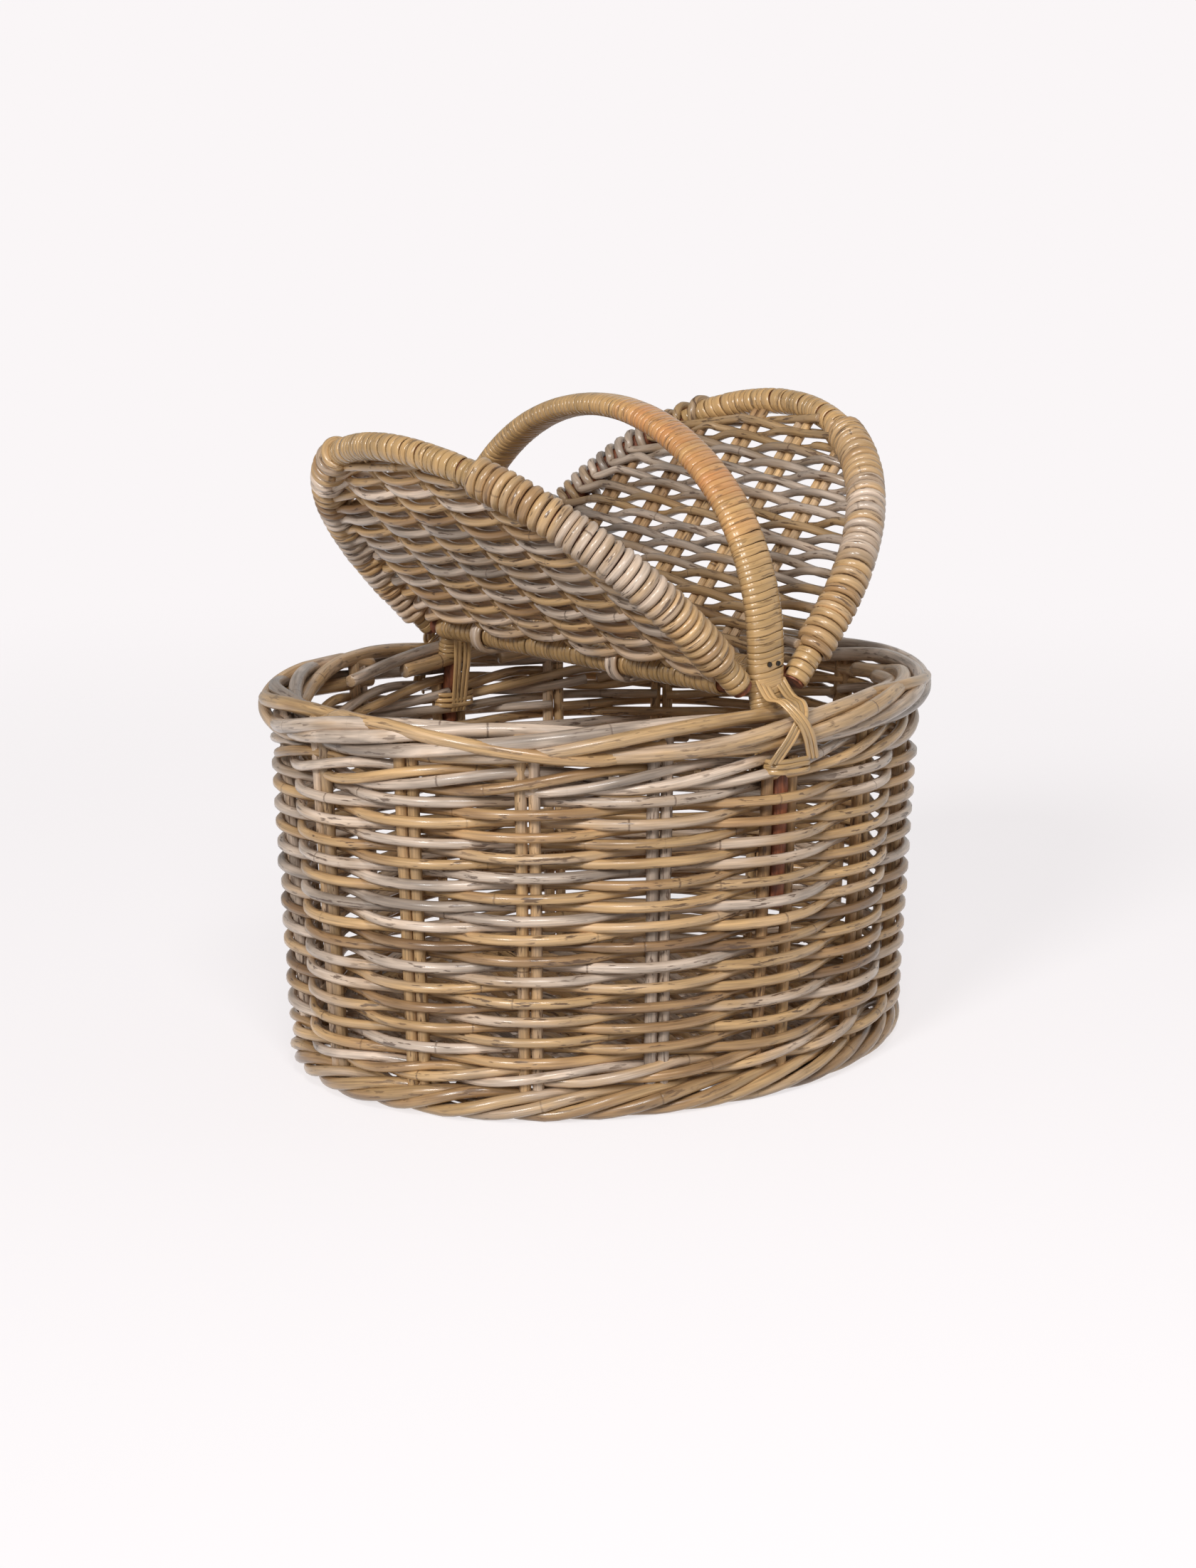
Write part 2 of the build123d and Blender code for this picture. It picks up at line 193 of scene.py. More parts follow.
@dataclass
class Strands:
    """Rods and canes gathered into one mesh.

    The mesh carries three attributes: grain holds the length along the strand and the place in its
    section, so that fibres follow it; tone holds hue, shade and cut end, where shade is brightness by
    chance and, on the lids and the foot band, also painted light and shade; ring holds the run from
    the nearest growth ring.
    """

    rng: np.random.Generator
    points: list[Array] = field(default_factory=list)
    grains: list[Array] = field(default_factory=list)
    tones: list[Array] = field(default_factory=list)
    rings: list[Array] = field(default_factory=list)
    corners: list[Array] = field(default_factory=list)
    sizes: list[Array] = field(default_factory=list)
    count: int = 0

    def sweep(
        self,
        path: Array,
        across: Array,
        half_breadth: Array | float,
        half_depth: Array | float | None = None,
        hue: Array | float | None = None,
        shade: Array | float | None = None,
        sides: int = 8,
        squareness: float = 2.0,
        knobbly: float = 0.045,
    ) -> None:
        """One strand: a flat or round section carried along a path.

        The section is a superellipse, breadth towards one direction and depth square to it and to
        the path. It swells a little at each growth ring, and both ends are eased and closed.

        Args:
            path: Centre of the section at each step.
            across: Direction of the breadth, one for all or one per step.
            half_breadth: Half size towards that direction.
            half_depth: Half size the other way; the same where it is left out.
            hue: Place on the finish's run of colours; by chance where it is left out.
            shade: Brightness; by chance where it is left out. On the lids and the foot band it
            also holds painted light and shade.
            sides: Corners of the section.
            squareness: Two for an ellipse, more for flatter faces.
            knobbly: Share by which a growth ring swells.
        """
        half_depth = half_breadth if half_depth is None else half_depth
        hue = self.rng.uniform(0.0, 1.0) if hue is None else hue
        shade = self.rng.normal(1.0, 0.08) if shade is None else shade
        columns = [np.broadcast_to(value, len(path)) for value in (half_breadth, half_depth, hue, shade)]
        ends = np.concatenate([[0], np.arange(len(path)), [len(path) - 1]])
        breadth, depth, hue, shade = (np.asarray(column, float)[ends] for column in columns)
        tangent = unit(np.gradient(path, axis=0))[ends]
        ease = END_EASE * depth
        points = path[ends]
        points[0] -= tangent[0] * ease[0]
        points[-1] += tangent[-1] * ease[-1]
        cut = np.zeros(len(points))
        cut[[0, -1]] = 1.0
        run = np.concatenate([[0.0], np.cumsum(np.linalg.norm(np.diff(points, axis=0), axis=1))])
        rings = np.cumsum(self.rng.uniform(*RING_GAP, int(run[-1] / RING_GAP[0]) + 2)) - RING_GAP[0]
        away = run[:, None] - rings
        ring = np.take_along_axis(away, np.argmin(np.abs(away), axis=1)[:, None], axis=1)
        swell = 1 + knobbly * np.exp(-((ring[:, 0] / RING_SPREAD) ** 2))
        swell = swell * np.where(cut > 0, END_SIZE, 1.0)
        run += self.rng.uniform(0.0, 40.0)
        across = np.broadcast_to(across, path.shape)[ends]
        across = unit(across - np.sum(across * tangent, axis=1, keepdims=True) * tangent)
        upward = np.cross(tangent, across)
        angle = np.linspace(0, 2 * np.pi, sides, endpoint=False) + np.pi / sides
        power = 2.0 / squareness
        wide = np.sign(np.cos(angle)) * np.abs(np.cos(angle)) ** power
        deep = np.sign(np.sin(angle)) * np.abs(np.sin(angle)) ** power
        wide = (breadth * swell)[:, None] * wide
        deep = (depth * swell)[:, None] * deep
        grid = points[:, None] + wide[..., None] * across[:, None] + deep[..., None] * upward[:, None]
        tone = stacked(hue, shade, cut)[:, None]

        rows, first = len(points), self.count
        index = first + np.arange(rows * sides).reshape(rows, sides)
        ahead = np.roll(index, -1, axis=1)
        quads = np.stack([index[:-1], ahead[:-1], ahead[1:], index[1:]], axis=-1).reshape(-1)
        self.points.append(grid.reshape(-1, 3))
        self.grains.append(stacked(run[:, None], wide, deep).reshape(-1, 3))
        self.tones.append(np.broadcast_to(tone, (rows, sides, 3)).reshape(-1, 3))
        self.rings.append(np.broadcast_to(ring, (rows, sides)).reshape(-1))
        self.corners += [quads, index[0, ::-1], index[-1]]
        self.sizes += [np.full((rows - 1) * sides, 4), np.array([sides, sides])]
        self.count += rows * sides

    def piece(self, name: str, dress: bpy.types.Material, body: str, slot: str, *stands_for: str) -> None:
        """Makes the mesh, dresses it and hangs it on its body.

        Args:
            name: Name of the piece.
            dress: Its material.
            body: The body that it rides on.
            slot: Not used.
            *stands_for: CAD nodes that it replaces.
        """
        mesh = bpy.data.meshes.new(name)
        corners = np.concatenate(self.corners).astype(np.int32)
        sizes = np.concatenate(self.sizes)
        starts = np.concatenate([[0], np.cumsum(sizes)[:-1]]).astype(np.int32)
        mesh.vertices.add(self.count)
        mesh.vertices.foreach_set("co", np.concatenate(self.points).astype(np.float32).ravel())
        mesh.loops.add(len(corners))
        mesh.loops.foreach_set("vertex_index", corners)
        mesh.polygons.add(len(starts))
        mesh.polygons.foreach_set("loop_start", starts)
        mesh.polygons.foreach_set("use_smooth", np.ones(len(starts), dtype=bool))
        mesh.update(calc_edges=True)
        for label, values in (("grain", self.grains), ("tone", self.tones)):
            layer = mesh.attributes.new(label, "FLOAT_VECTOR", "POINT")
            layer.data.foreach_set("vector", np.concatenate(values).astype(np.float32).ravel())
        layer = mesh.attributes.new("ring", "FLOAT", "POINT")
        layer.data.foreach_set("value", np.concatenate(self.rings).astype(np.float32))
        mesh.validate()
        mesh.materials.append(dress)
        shape = bpy.data.objects.new(name, mesh)
        bpy.context.scene.collection.objects.link(shape)
        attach(shape, body)
        if stands_for:
            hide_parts(*stands_for)
        LOG.info("%s: %d faces", name, len(starts))


@dataclass(frozen=True)
class Winding:
    """Turns of one strand round a core."""

    pitch: float
    half_thickness: float
    core_side: float
    core_out: float
    core_squareness: float = 2.0
    squareness: float = 2.0
    unevenness: float = 0.15
    fill: float = 1.0
    slope: float = 0.0
    per_turn: int = 20
    sides: int = 8

    def wind(self, strands: Strands, spine: Spine, first: float, last: float, hue: Hue) -> None:
        """Winds the strand between two lengths along a spine.

        The centre goes round the core's superellipse as it moves along, one uneven turn width at a
        time, and leans by the slope; its breadth lies along the spine.

        Args:
            strands: The mesh that it joins.
            spine: The line that it is wound round.
            first: Where the turns start.
            last: Where they end.
            hue: Hue against the share of the way along.
        """
        rng = strands.rng
        turns = max(2, round((last - first) / self.pitch))
        widths = np.clip(rng.normal(1.0, self.unevenness, turns), 0.6, 1.6)
        widths *= (last - first) / widths.sum()
        edges = first + np.concatenate([[0.0], np.cumsum(widths)])
        turn = np.linspace(0, turns, turns * self.per_turn + 1)
        width = np.interp(turn, np.arange(turns) + 0.5, widths)
        run = np.interp(turn, np.arange(turns + 1), edges)
        angle = 2 * np.pi * turn
        run = run + self.slope * np.cos(angle)
        spread = self.core_squareness
        sideways = (np.abs(np.cos(angle)) / self.core_side) ** spread
        outwards = (np.abs(np.sin(angle)) / self.core_out) ** spread
        radius = (sideways + outwards) ** (-1 / spread)
        proud = np.interp(turn, np.arange(turns + 1), rng.uniform(0, 1, turns + 1)) * self.half_thickness
        radius = radius + self.half_thickness + self.unevenness * proud
        place, along, out = spine.at(run)
        path = place + radius[:, None] * (
            np.cos(angle)[:, None] * spine.side + np.sin(angle)[:, None] * out
        )
        share = (run - first) / (last - first)
        by_turn = np.interp(turn, np.arange(turns + 1), rng.normal(0, 1, turns + 1))
        strands.sweep(
            path,
            along,
            width / 2 * self.fill,
            self.half_thickness,
            hue(share) + 0.06 * by_turn,
            1.0 + 0.05 * np.roll(by_turn, self.per_turn),
            self.sides,
            self.squareness,
            knobbly=0.0,
        )


# ---------------------------------------------------------------- finishes


def colour(red: int, green: int, blue: int) -> tuple[float, float, float, float]:
    """Colour as the shaders take it, from its everyday 0 to 255 values."""
    linear = (((value / 255 + 0.055) / 1.055) ** 2.4 for value in (red, green, blue))
    return (*linear, 1.0)


class Nodes:
    """Short way to write the node tree of a material or of the world."""

    def __init__(self, owner: bpy.types.Material | bpy.types.World, output: str = "OutputMaterial") -> None:
        """Empties the owner's tree and starts it with its output."""
        owner.use_nodes = True
        self.owner = owner
        self.tree = owner.node_tree
        self.tree.nodes.clear()
        self.output = self.tree.nodes.new("ShaderNode" + output)

    def add(self, kind: str, sockets: dict, **settings: object) -> bpy.types.Node:
        """Adds a node.

        Args:
            kind: Node type, after the usual prefix.
            sockets: Input name or number against a value or another node's output.
            **settings: The node's own properties.

        Returns:
            The node.
        """
        node = self.tree.nodes.new("ShaderNode" + kind)
        for label, value in settings.items():
            setattr(node, label, value)
        for label, value in sockets.items():
            if isinstance(value, bpy.types.NodeSocket):
                self.tree.links.new(value, node.inputs[label])
            else:
                node.inputs[label].default_value = value
        return node

    def maths(self, operation: str, first: object, second: object = 0.0) -> bpy.types.NodeSocket:
        """Result of a sum of two values or sockets."""
        return self.add("Math", {0: first, 1: second}, operation=operation).outputs[0]

    def noise(self, vector: bpy.types.NodeSocket, scale: tuple, detail: float = 2.0) -> bpy.types.NodeSocket:
        """Noise over a vector that is stretched by three factors."""
        stretched = self.add("VectorMath", {0: vector, 1: scale}, operation="MULTIPLY").outputs[0]
        return self.add("TexNoise", {"Vector": stretched, "Scale": 1.0, "Detail": detail}).outputs["Fac"]

    def band(self, value: bpy.types.NodeSocket, low: float, high: float) -> bpy.types.NodeSocket:
        """Smooth rise from nought at low to one at high."""
        sockets = {"Value": value, "From Min": low, "From Max": high}
        return self.add("MapRange", sockets, interpolation_type="SMOOTHSTEP").outputs[0]

    def blend(self, share: object, first: object, second: object, how: str = "MIX") -> bpy.types.NodeSocket:
        """Mix of two colours."""
        return self.add("Mix", {0: share, 6: first, 7: second}, data_type="RGBA", blend_type=how).outputs[2]

    def ramp(self, value: bpy.types.NodeSocket, stops: tuple) -> bpy.types.NodeSocket:
        """Run of colours over a value."""
        node = self.add("ValToRGB", {"Fac": value})
        elements = node.color_ramp.elements
        for place, (position, shown) in enumerate(stops):
            element = elements[place] if place < 2 else elements.new(position)
            element.position = position
            element.color = shown
        return node.outputs["Color"]

    def finish(self, surface: bpy.types.NodeSocket) -> bpy.types.Material | bpy.types.World:
        """Links the surface and hands back the tree's owner."""
        self.tree.links.new(surface, self.output.inputs["Surface"])
        return self.owner


# Noise on a strand, as waves per metre along it and across its two ways
PATCHES = (14.0, 60.0, 60.0)
FIBRES = (34.0, 900.0, 900.0)
BROAD_FIBRES = (26.0, 300.0, 300.0)
SCARS = (85.0, 480.0, 480.0)
SCARRED_PARTS = (20.0, 90.0, 90.0)
RAGGED_RINGS = (300.0, 900.0, 900.0)
FAINT_RINGS = (9.0, 12.0, 12.0)
PORES = (0.0, 2600.0, 2600.0)


@dataclass(frozen=True)
class StrandFinish:
    """Skin of a rod or cane, which follows the strand's own grain."""

    name: str
    stops: tuple
    roughness: tuple[float, float] = (0.27, 0.5)
    patchiness: float = 0.5
    streaks: float = 0.95
    stains: float = 0.8
    rings: float = 0.7
    coat: float = 0.4
    bump: float = 0.5

    def material(self) -> bpy.types.Material:
        """Colour drifts along the strand, with fine fibres, dark scars and a line at each growth ring.

        Returns:
            The material.
        """
        nodes = Nodes(bpy.data.materials.new(self.name))
        grain = nodes.add("Attribute", {}, attribute_name="grain").outputs["Vector"]
        tone = nodes.add("Attribute", {}, attribute_name="tone").outputs["Vector"]
        hue, shade, cut = nodes.add("SeparateXYZ", {0: tone}).outputs
        from_ring = nodes.maths("ABSOLUTE", nodes.add("Attribute", {}, attribute_name="ring").outputs["Fac"])

        patches = nodes.noise(grain, PATCHES, 3.0)
        drift = nodes.maths("MULTIPLY", nodes.maths("SUBTRACT", patches, 0.5), self.patchiness * 2)
        skin = nodes.ramp(nodes.maths("ADD", hue, drift), self.stops)
        fibres = nodes.noise(grain, FIBRES, 4.0)
        broad = nodes.noise(grain, BROAD_FIBRES, 3.0)
        both = nodes.maths("ADD", nodes.maths("MULTIPLY", fibres, 0.55), nodes.maths("MULTIPLY", broad, 0.45))
        lines = nodes.maths("ADD", nodes.maths("MULTIPLY", both, self.streaks * 2), 1.0 - self.streaks)
        # shade multiplies the skin: brightness by chance, and on the lids and the foot band also painted
        # light and shade
        light = nodes.maths("MULTIPLY", lines, shade)
        skin = nodes.blend(1.0, skin, light, "MULTIPLY")

        scars = nodes.band(nodes.noise(grain, SCARS, 5.0), 0.57, 0.64)
        region = nodes.band(nodes.noise(grain, SCARRED_PARTS, 2.0), 0.4, 0.56)
        scar = nodes.maths("MULTIPLY", nodes.maths("MULTIPLY", scars, region), self.stains)
        ragged = nodes.maths("MULTIPLY", nodes.noise(grain, RAGGED_RINGS), 0.0011)
        ring = nodes.maths("SUBTRACT", 1.0, nodes.band(nodes.maths("ADD", from_ring, ragged), 0.0005, 0.0016))
        faint = nodes.band(nodes.noise(grain, FAINT_RINGS), 0.36, 0.58)
        ring = nodes.maths("MULTIPLY", nodes.maths("MULTIPLY", ring, faint), self.rings)
        marks = nodes.maths("MAXIMUM", scar, ring)
        skin = nodes.blend(marks, skin, colour(74, 48, 30))
        pores = nodes.band(nodes.noise(grain, PORES, 1.0), 0.52, 0.66)
        pith = nodes.blend(pores, colour(176, 146, 112), colour(96, 72, 52))
        skin = nodes.blend(cut, skin, pith)

        shiny, dull = self.roughness
        sockets = {"Value": patches, "From Min": 0.3, "From Max": 0.7, "To Min": shiny, "To Max": dull}
        rough = nodes.add("MapRange", sockets).outputs[0]
        height = nodes.maths("SUBTRACT", fibres, nodes.maths("MULTIPLY", marks, 1.5))
        relief = nodes.add("Bump", {"Strength": self.bump, "Distance": 0.0004, "Height": height})
        shader = nodes.add(
            "BsdfPrincipled",
            {
                "Base Color": skin,
                "Roughness": rough,
                "Specular IOR Level": 0.5,
                "Coat Weight": self.coat,
                "Coat Roughness": 0.13,
                "Normal": relief.outputs[0],
            },
        )
        return nodes.finish(shader.outputs[0])


@dataclass(frozen=True)
class PoleFinish:
    """Skin of the dark poles that the CAD model carries."""

    name: str
    dark: tuple
    light: tuple
    roughness: float = 0.55
    metallic: float = 0.0

    def material(self) -> bpy.types.Material:
        """Long soft streaks along the height, with fine grain between them.

        Returns:
            The material.
        """
        nodes = Nodes(bpy.data.materials.new(self.name))
        place = nodes.add("TexCoord", {}).outputs["Object"]
        streaks = nodes.noise(place, (260.0, 260.0, 22.0), 4.0)
        fine = nodes.noise(place, (1400.0, 1400.0, 160.0), 3.0)
        mixed = nodes.maths("ADD", nodes.maths("MULTIPLY", streaks, 0.7), nodes.maths("MULTIPLY", fine, 0.3))
        skin = nodes.blend(nodes.band(mixed, 0.36, 0.64), self.dark, self.light)
        relief = nodes.add("Bump", {"Strength": 0.4, "Distance": 0.0004, "Height": mixed})
        shader = nodes.add(
            "BsdfPrincipled",
            {
                "Base Color": skin,
                "Roughness": self.roughness,
                "Metallic": self.metallic,
                "Normal": relief.outputs[0],
            },
        )
        return nodes.finish(shader.outputs[0])


ROD_STOPS = (
    (0.0, colour(132, 100, 68)),
    (1.0, colour(146, 130, 116)),
    (0.18, colour(168, 132, 92)),
    (0.34, colour(190, 154, 108)),
    (0.5, colour(188, 155, 116)),
    (0.64, colour(182, 156, 130)),
    (0.8, colour(206, 185, 166)),
)
CANE_STOPS = (
    (0.0, colour(160, 128, 84)),
    (1.0, colour(200, 138, 86)),
    (0.3, colour(188, 152, 104)),
    (0.6, colour(202, 160, 106)),
)


class Finish(Enum):
    """The basket's finishes."""

    WEAVER = StrandFinish("weaver rattan", ROD_STOPS)
    STAKE = StrandFinish("stake rattan", ROD_STOPS, streaks=1.2, coat=0.05, roughness=(0.45, 0.7))
    BORDER = StrandFinish("border rattan", ROD_STOPS, streaks=1.1, patchiness=0.6, stains=0.55)
    CANE = StrandFinish(
        "flat cane",
        CANE_STOPS,
        roughness=(0.2, 0.36),
        patchiness=0.4,
        streaks=0.6,
        stains=0.6,
        rings=0.2,
        coat=0.35,
    )
    POLE = PoleFinish("pole core", colour(88, 44, 26), colour(150, 88, 56))
    METAL = PoleFinish("tack steel", colour(52, 46, 42), colour(96, 88, 80), 0.35, 0.9)


DRESS: dict[Finish, bpy.types.Material] = {finish: finish.value.material() for finish in Finish}


# ---------------------------------------------------------------- the oval body


@dataclass(frozen=True)
class OvalWall:
    """The leaning oval that the stakes stand on, read from the two borders' boxes."""

    foot_outset: float = 10.5 * MM
    rim_outset: float = 16.5 * MM
    places: int = 16

    def half_axes(self, height: Array | float) -> tuple[Array, Array]:
        """Half length and half width at a height, straight between the foot and the rim."""
        foot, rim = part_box("foot_border")[1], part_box("rim_border")[1]
        share = (np.asarray(height) - foot[2]) / (rim[2] - foot[2])
        low = [foot[axis] - self.foot_outset for axis in (0, 1)]
        high = [rim[axis] - self.rim_outset for axis in (0, 1)]
        return tuple(low[axis] + (high[axis] - low[axis]) * share for axis in (0, 1))

    def point(self, place: Array, height: Array | float, outset: Array | float) -> Array:
        """Point near the wall.

        Args:
            place: Way round the oval, in stake places from the right-hand end.
            height: Height above the floor.
            outset: Distance out from the stakes' middle.

        Returns:
            One point per row.
        """
        turn = 2 * np.pi * np.asarray(place, float) / self.places
        length, width = self.half_axes(height)
        out = unit(stacked(np.cos(turn) / length, np.sin(turn) / width, 0.0))
        middle = stacked(length * np.cos(turn), width * np.sin(turn), height)
        return middle + out * np.reshape(outset, (-1, 1))


@dataclass
class WovenBody:
    """Stakes, weavers and borders of the oval body."""

    wall: OvalWall
    stake_radius: float = 3.95 * MM
    stake_gap: float = 8.3 * MM
    weaver_radius: float = 3.35 * MM
    row_pitch: float = 6.45 * MM
    handle_stake_gap: float = 20.0 * MM
    pole_room: float = 2.2 * MM
    border_radius: float = 4.8 * MM
    rim_inset: float = 14 * MM
    rim_span: float = 4.7
    cross_starts: tuple[float, ...] = (0.3, 4.7, 8.0, 12.7)
    cross_span: float = 3.5
    cross_sink: float = 7 * MM
    base_rib_radius: float = 3.5 * MM
    rod_end_gap: float = 0.05
    flattening: float = 0.14
    wander: float = 0.5 * MM
    row_wander: float = 0.95 * MM
    rope_wander: float = 0.6 * MM

    def stakes(self) -> None:
        """Pairs of upright rods, each a straight line that wanders a little."""
        strands = Strands(np.random.default_rng(11))
        rng = strands.rng
        low, high = (corner[2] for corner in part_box("side_stakes"))
        height = np.linspace(low, high, 40)
        for place in range(self.wall.places):
            at_handle = place % (self.wall.places // 2) == self.wall.places // 4
            gap = self.handle_stake_gap if at_handle else self.stake_gap
            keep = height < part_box("rim_border")[0][2] if at_handle else height > 0
            hue = rng.uniform(0.1, 0.95)
            middle = self.wall.point(np.array([place - 0.01, place + 0.01]), 0.1, 0.0)
            along = unit(middle[1] - middle[0])
            for side in (-0.5, 0.5):
                sway = self.wander * wobble(len(height), 4, rng)
                path = self.wall.point(np.full(len(height), float(place)), height, sway)
                path = path + along * (side * gap + 0.4 * MM * wobble(len(height), 4, rng))[:, None]
                radius = self.stake_radius * rng.uniform(0.93, 1.02)
                strands.sweep(path[keep], along, radius, hue=hue + rng.normal(0, 0.1), sides=10)
        strands.piece("wall_stakes", DRESS[Finish.STAKE], "basket", "stake_rattan", "side_stakes")

    def weave(self) -> None:
        """Rows of rods that pass in front of one stake pair and behind the next.

        The outset is a cosine with one period every two places, a little flattened, and turned by
        half a period from row to row. Each row is two or three rods that meet behind a stake pair.
        """
        strands = Strands(np.random.default_rng(23))
        rng = strands.rng
        low, high = (corner[2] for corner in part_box("side_weave"))
        rows = round((high - low) / self.row_pitch)
        pitch = (high - low) / rows
        pole_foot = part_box("handle_pole")[0][2]
        for row in range(rows):
            level = low + (row + 0.5) * pitch
            joint = 2 * rng.integers(0, 8) + (row + 1) % 2
            lengths = rng.permutation([6, 4, 6]) if rng.uniform() < 0.45 else rng.permutation([10, 6])
            for length in lengths:
                steps = int(length * 11)
                place = np.linspace(joint + self.rod_end_gap, joint + length - self.rod_end_gap, steps)
                wave = np.cos(np.pi * (place + row))
                off_handle = np.abs(np.mod(place, 8) - 4)
                room = self.pole_room * np.exp(-((off_handle / 0.3) ** 2)) * (level > pole_foot - 0.004)
                reach = self.stake_radius + self.weaver_radius
                flat = 1 + self.flattening - self.flattening * wave**2
                outset = reach * wave * flat + room * np.sign(wave)
                outset = outset + self.wander * wobble(steps, length, rng)
                height = level + self.row_wander * wobble(steps, length, rng)
                radius = self.weaver_radius * (rng.uniform(0.92, 1.06) + 0.03 * wobble(steps, 4, rng))
                strands.sweep(self.wall.point(place, height, outset), UP, radius, hue=self.hue(rng))
                joint += length
        strands.piece("wall_weavers", DRESS[Finish.WEAVER], "basket", "weave_rattan", "side_weave")

    def hue(self, rng: np.random.Generator) -> float:
        """Honey for more than half of the rods, grey for the rest."""
        return rod_hue(rng, 0.6, (0.3, 0.1), (0.72, 0.1))

    def rope(
        self,
        name: str,
        node: str,
        seed: int,
        strands_round: int,
        twists: int,
        radius: float,
        outset: float,
        shade: float = 1.0,
    ) -> None:
        """Ring of rods twisted round the stakes.

        Each rod's middle goes round an ellipse in the section as it runs round the oval, and the
        rods share the ellipse evenly. A rod ends where it is on the inner side.

        Args:
            name: Name of the piece.
            node: The CAD band that it fills.
            seed: Start of its chance.
            strands_round: How many rods there are side by side.
            twists: How often each goes round its ellipse.
            radius: Radius of a rod.
            outset: Half thickness of the band, out from the stakes' middle.
            shade: Usual brightness of its rods; the foot band's lower value is painted shade.
        """
        strands = Strands(np.random.default_rng(seed))
        rng = strands.rng
        low, high = (corner[2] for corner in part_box(node))
        middle, tall, deep = (low + high) / 2, (high - low) / 2 - radius, outset - radius
        per_twist = self.wall.places / twists
        for number in range(strands_round):
            lead = per_twist * (0.5 - number / strands_round)
            splits = np.sort(rng.choice(np.arange(1, twists), 2, replace=False))
            for first, last in zip((0, *splits), (*splits, twists)):
                samples = int((last - first) * per_twist * 10)
                place = lead + np.linspace(first + 0.02, last - 0.02, samples) * per_twist
                turn = 2 * np.pi * (place / per_twist + number / strands_round)
                turn = turn + 0.3 * wobble(len(place), 7, rng)
                thick = radius * (rng.uniform(0.9, 1.06) + 0.04 * wobble(len(place), 5, rng))
                height = middle + tall * np.sin(turn) + self.rope_wander * wobble(len(place), 9, rng)
                height = np.maximum(height, low + thick * 1.05)
                out = deep * np.cos(turn) + self.rope_wander * wobble(len(place), 9, rng)
                path = self.wall.point(place, height, out)
                hue, light = self.hue(rng), shade * rng.normal(1.0, 0.08)
                strands.sweep(path, UP, thick, hue=hue, shade=light, sides=10)
        strands.piece(name, DRESS[Finish.BORDER], "basket", "border_rattan", node)

    def rim(self) -> None:
        """Rolled border: a thick rod for each stake place, and a few looser ones over them.

        Each thick rod comes up the outer face, goes over the top and down the inner face while it
        runs on for several places, and ends in a cut face that stands in from the wall. The looser
        rods lie over them and cross them the other way, clear of the handle's feet.
        """
        strands = Strands(np.random.default_rng(31))
        rng = strands.rng
        low, high = (corner[2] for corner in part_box("rim_border"))
        outer, inner, radius = self.wall.rim_outset, self.rim_inset, self.border_radius
        families = (
            (tuple(range(self.wall.places)), self.rim_span, -110.0, 215.0, 1.0, 0.0),
            (self.cross_starts, self.cross_span, 120.0, -100.0, 0.86, 1.2 * MM),
        )
        for starts, usual_span, start, end, slimness, proud in families:
            thin = radius * slimness
            middle, tall = (low + high) / 2, (high - low) / 2 - thin + proud
            centre, deep = (outer - inner) / 2, (outer + inner) / 2 - thin + proud
            for number in starts:
                share = np.linspace(0, 1, 64)
                span = usual_span + rng.uniform(-0.5, 0.1)
                place = number + rng.uniform(-0.2, 0.2) + span * share
                turn = np.radians(start + (end - start) * share + 14 * wobble(len(share), 4, rng))
                thick = thin * (rng.uniform(0.9, 1.06) + 0.04 * wobble(len(share), 4, rng))
                stray = eased((share - 0.86) / 0.14) * rng.uniform(3, 11) * MM * (proud == 0)
                dive = eased((0.14 - share) / 0.14) + eased((share - 0.82) / 0.18)
                sunk = dive * self.cross_sink * (proud > 0)
                out = centre + (deep - sunk) * np.cos(turn) - stray + self.wander * wobble(len(share), 7, rng)
                height = middle + (tall - sunk) * np.sin(turn) + 0.3 * stray
                height = height + self.wander * wobble(len(share), 7, rng)
                path = self.wall.point(place, np.minimum(height, high - thick), out)
                strands.sweep(path, UP, thick, hue=self.hue(rng) + 0.15, sides=12)
        strands.piece("rim_rods", DRESS[Finish.BORDER], "basket", "border_rattan", "rim_border")

    def base(self) -> None:
        """Woven floor: rods along the basket, with weavers over and under them from side to side."""
        strands = Strands(np.random.default_rng(41))
        rng = strands.rng
        low, high = (corner[2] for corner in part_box("base_weave"))
        middle = (low + high) / 2
        half_length, half_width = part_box("base_weave")[1][0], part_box("base_weave")[1][1]
        ribs_low, ribs_high = (edge[1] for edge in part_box("base_ribs"))
        rib_places = np.linspace(ribs_low + self.base_rib_radius, ribs_high - self.base_rib_radius, 7)
        for rib in rib_places:
            reach = half_length * math.sqrt(1 - (rib / half_width) ** 2) - 3 * MM
            path = stacked(np.linspace(-reach, reach, 40), rib, middle)
            strands.sweep(path, UP, 3.4 * MM, hue=self.hue(rng))
        pitch = rib_places[1] - rib_places[0]
        for row, along in enumerate(np.arange(-half_length + 6 * MM, half_length - 5 * MM, 6.6 * MM)):
            reach = half_width * math.sqrt(1 - (along / half_length) ** 2) - 2 * MM
            across = np.linspace(-reach, reach, max(8, int(reach / (4 * MM))))
            wave = np.cos(np.pi * (across / pitch + row))
            path = stacked(along + 0.3 * MM * wobble(len(across), 5, rng), across, middle + 3.7 * MM * wave)
            strands.sweep(path, np.array([1.0, 0.0, 0.0]), 3.1 * MM, hue=self.hue(rng), sides=6)
        nodes = ("base_weave", "base_ribs")
        strands.piece("base_weavers", DRESS[Finish.WEAVER], "basket", "weave_rattan", *nodes)

    def build(self) -> None:
        """Makes every piece of the body."""
        self.stakes()
        self.weave()
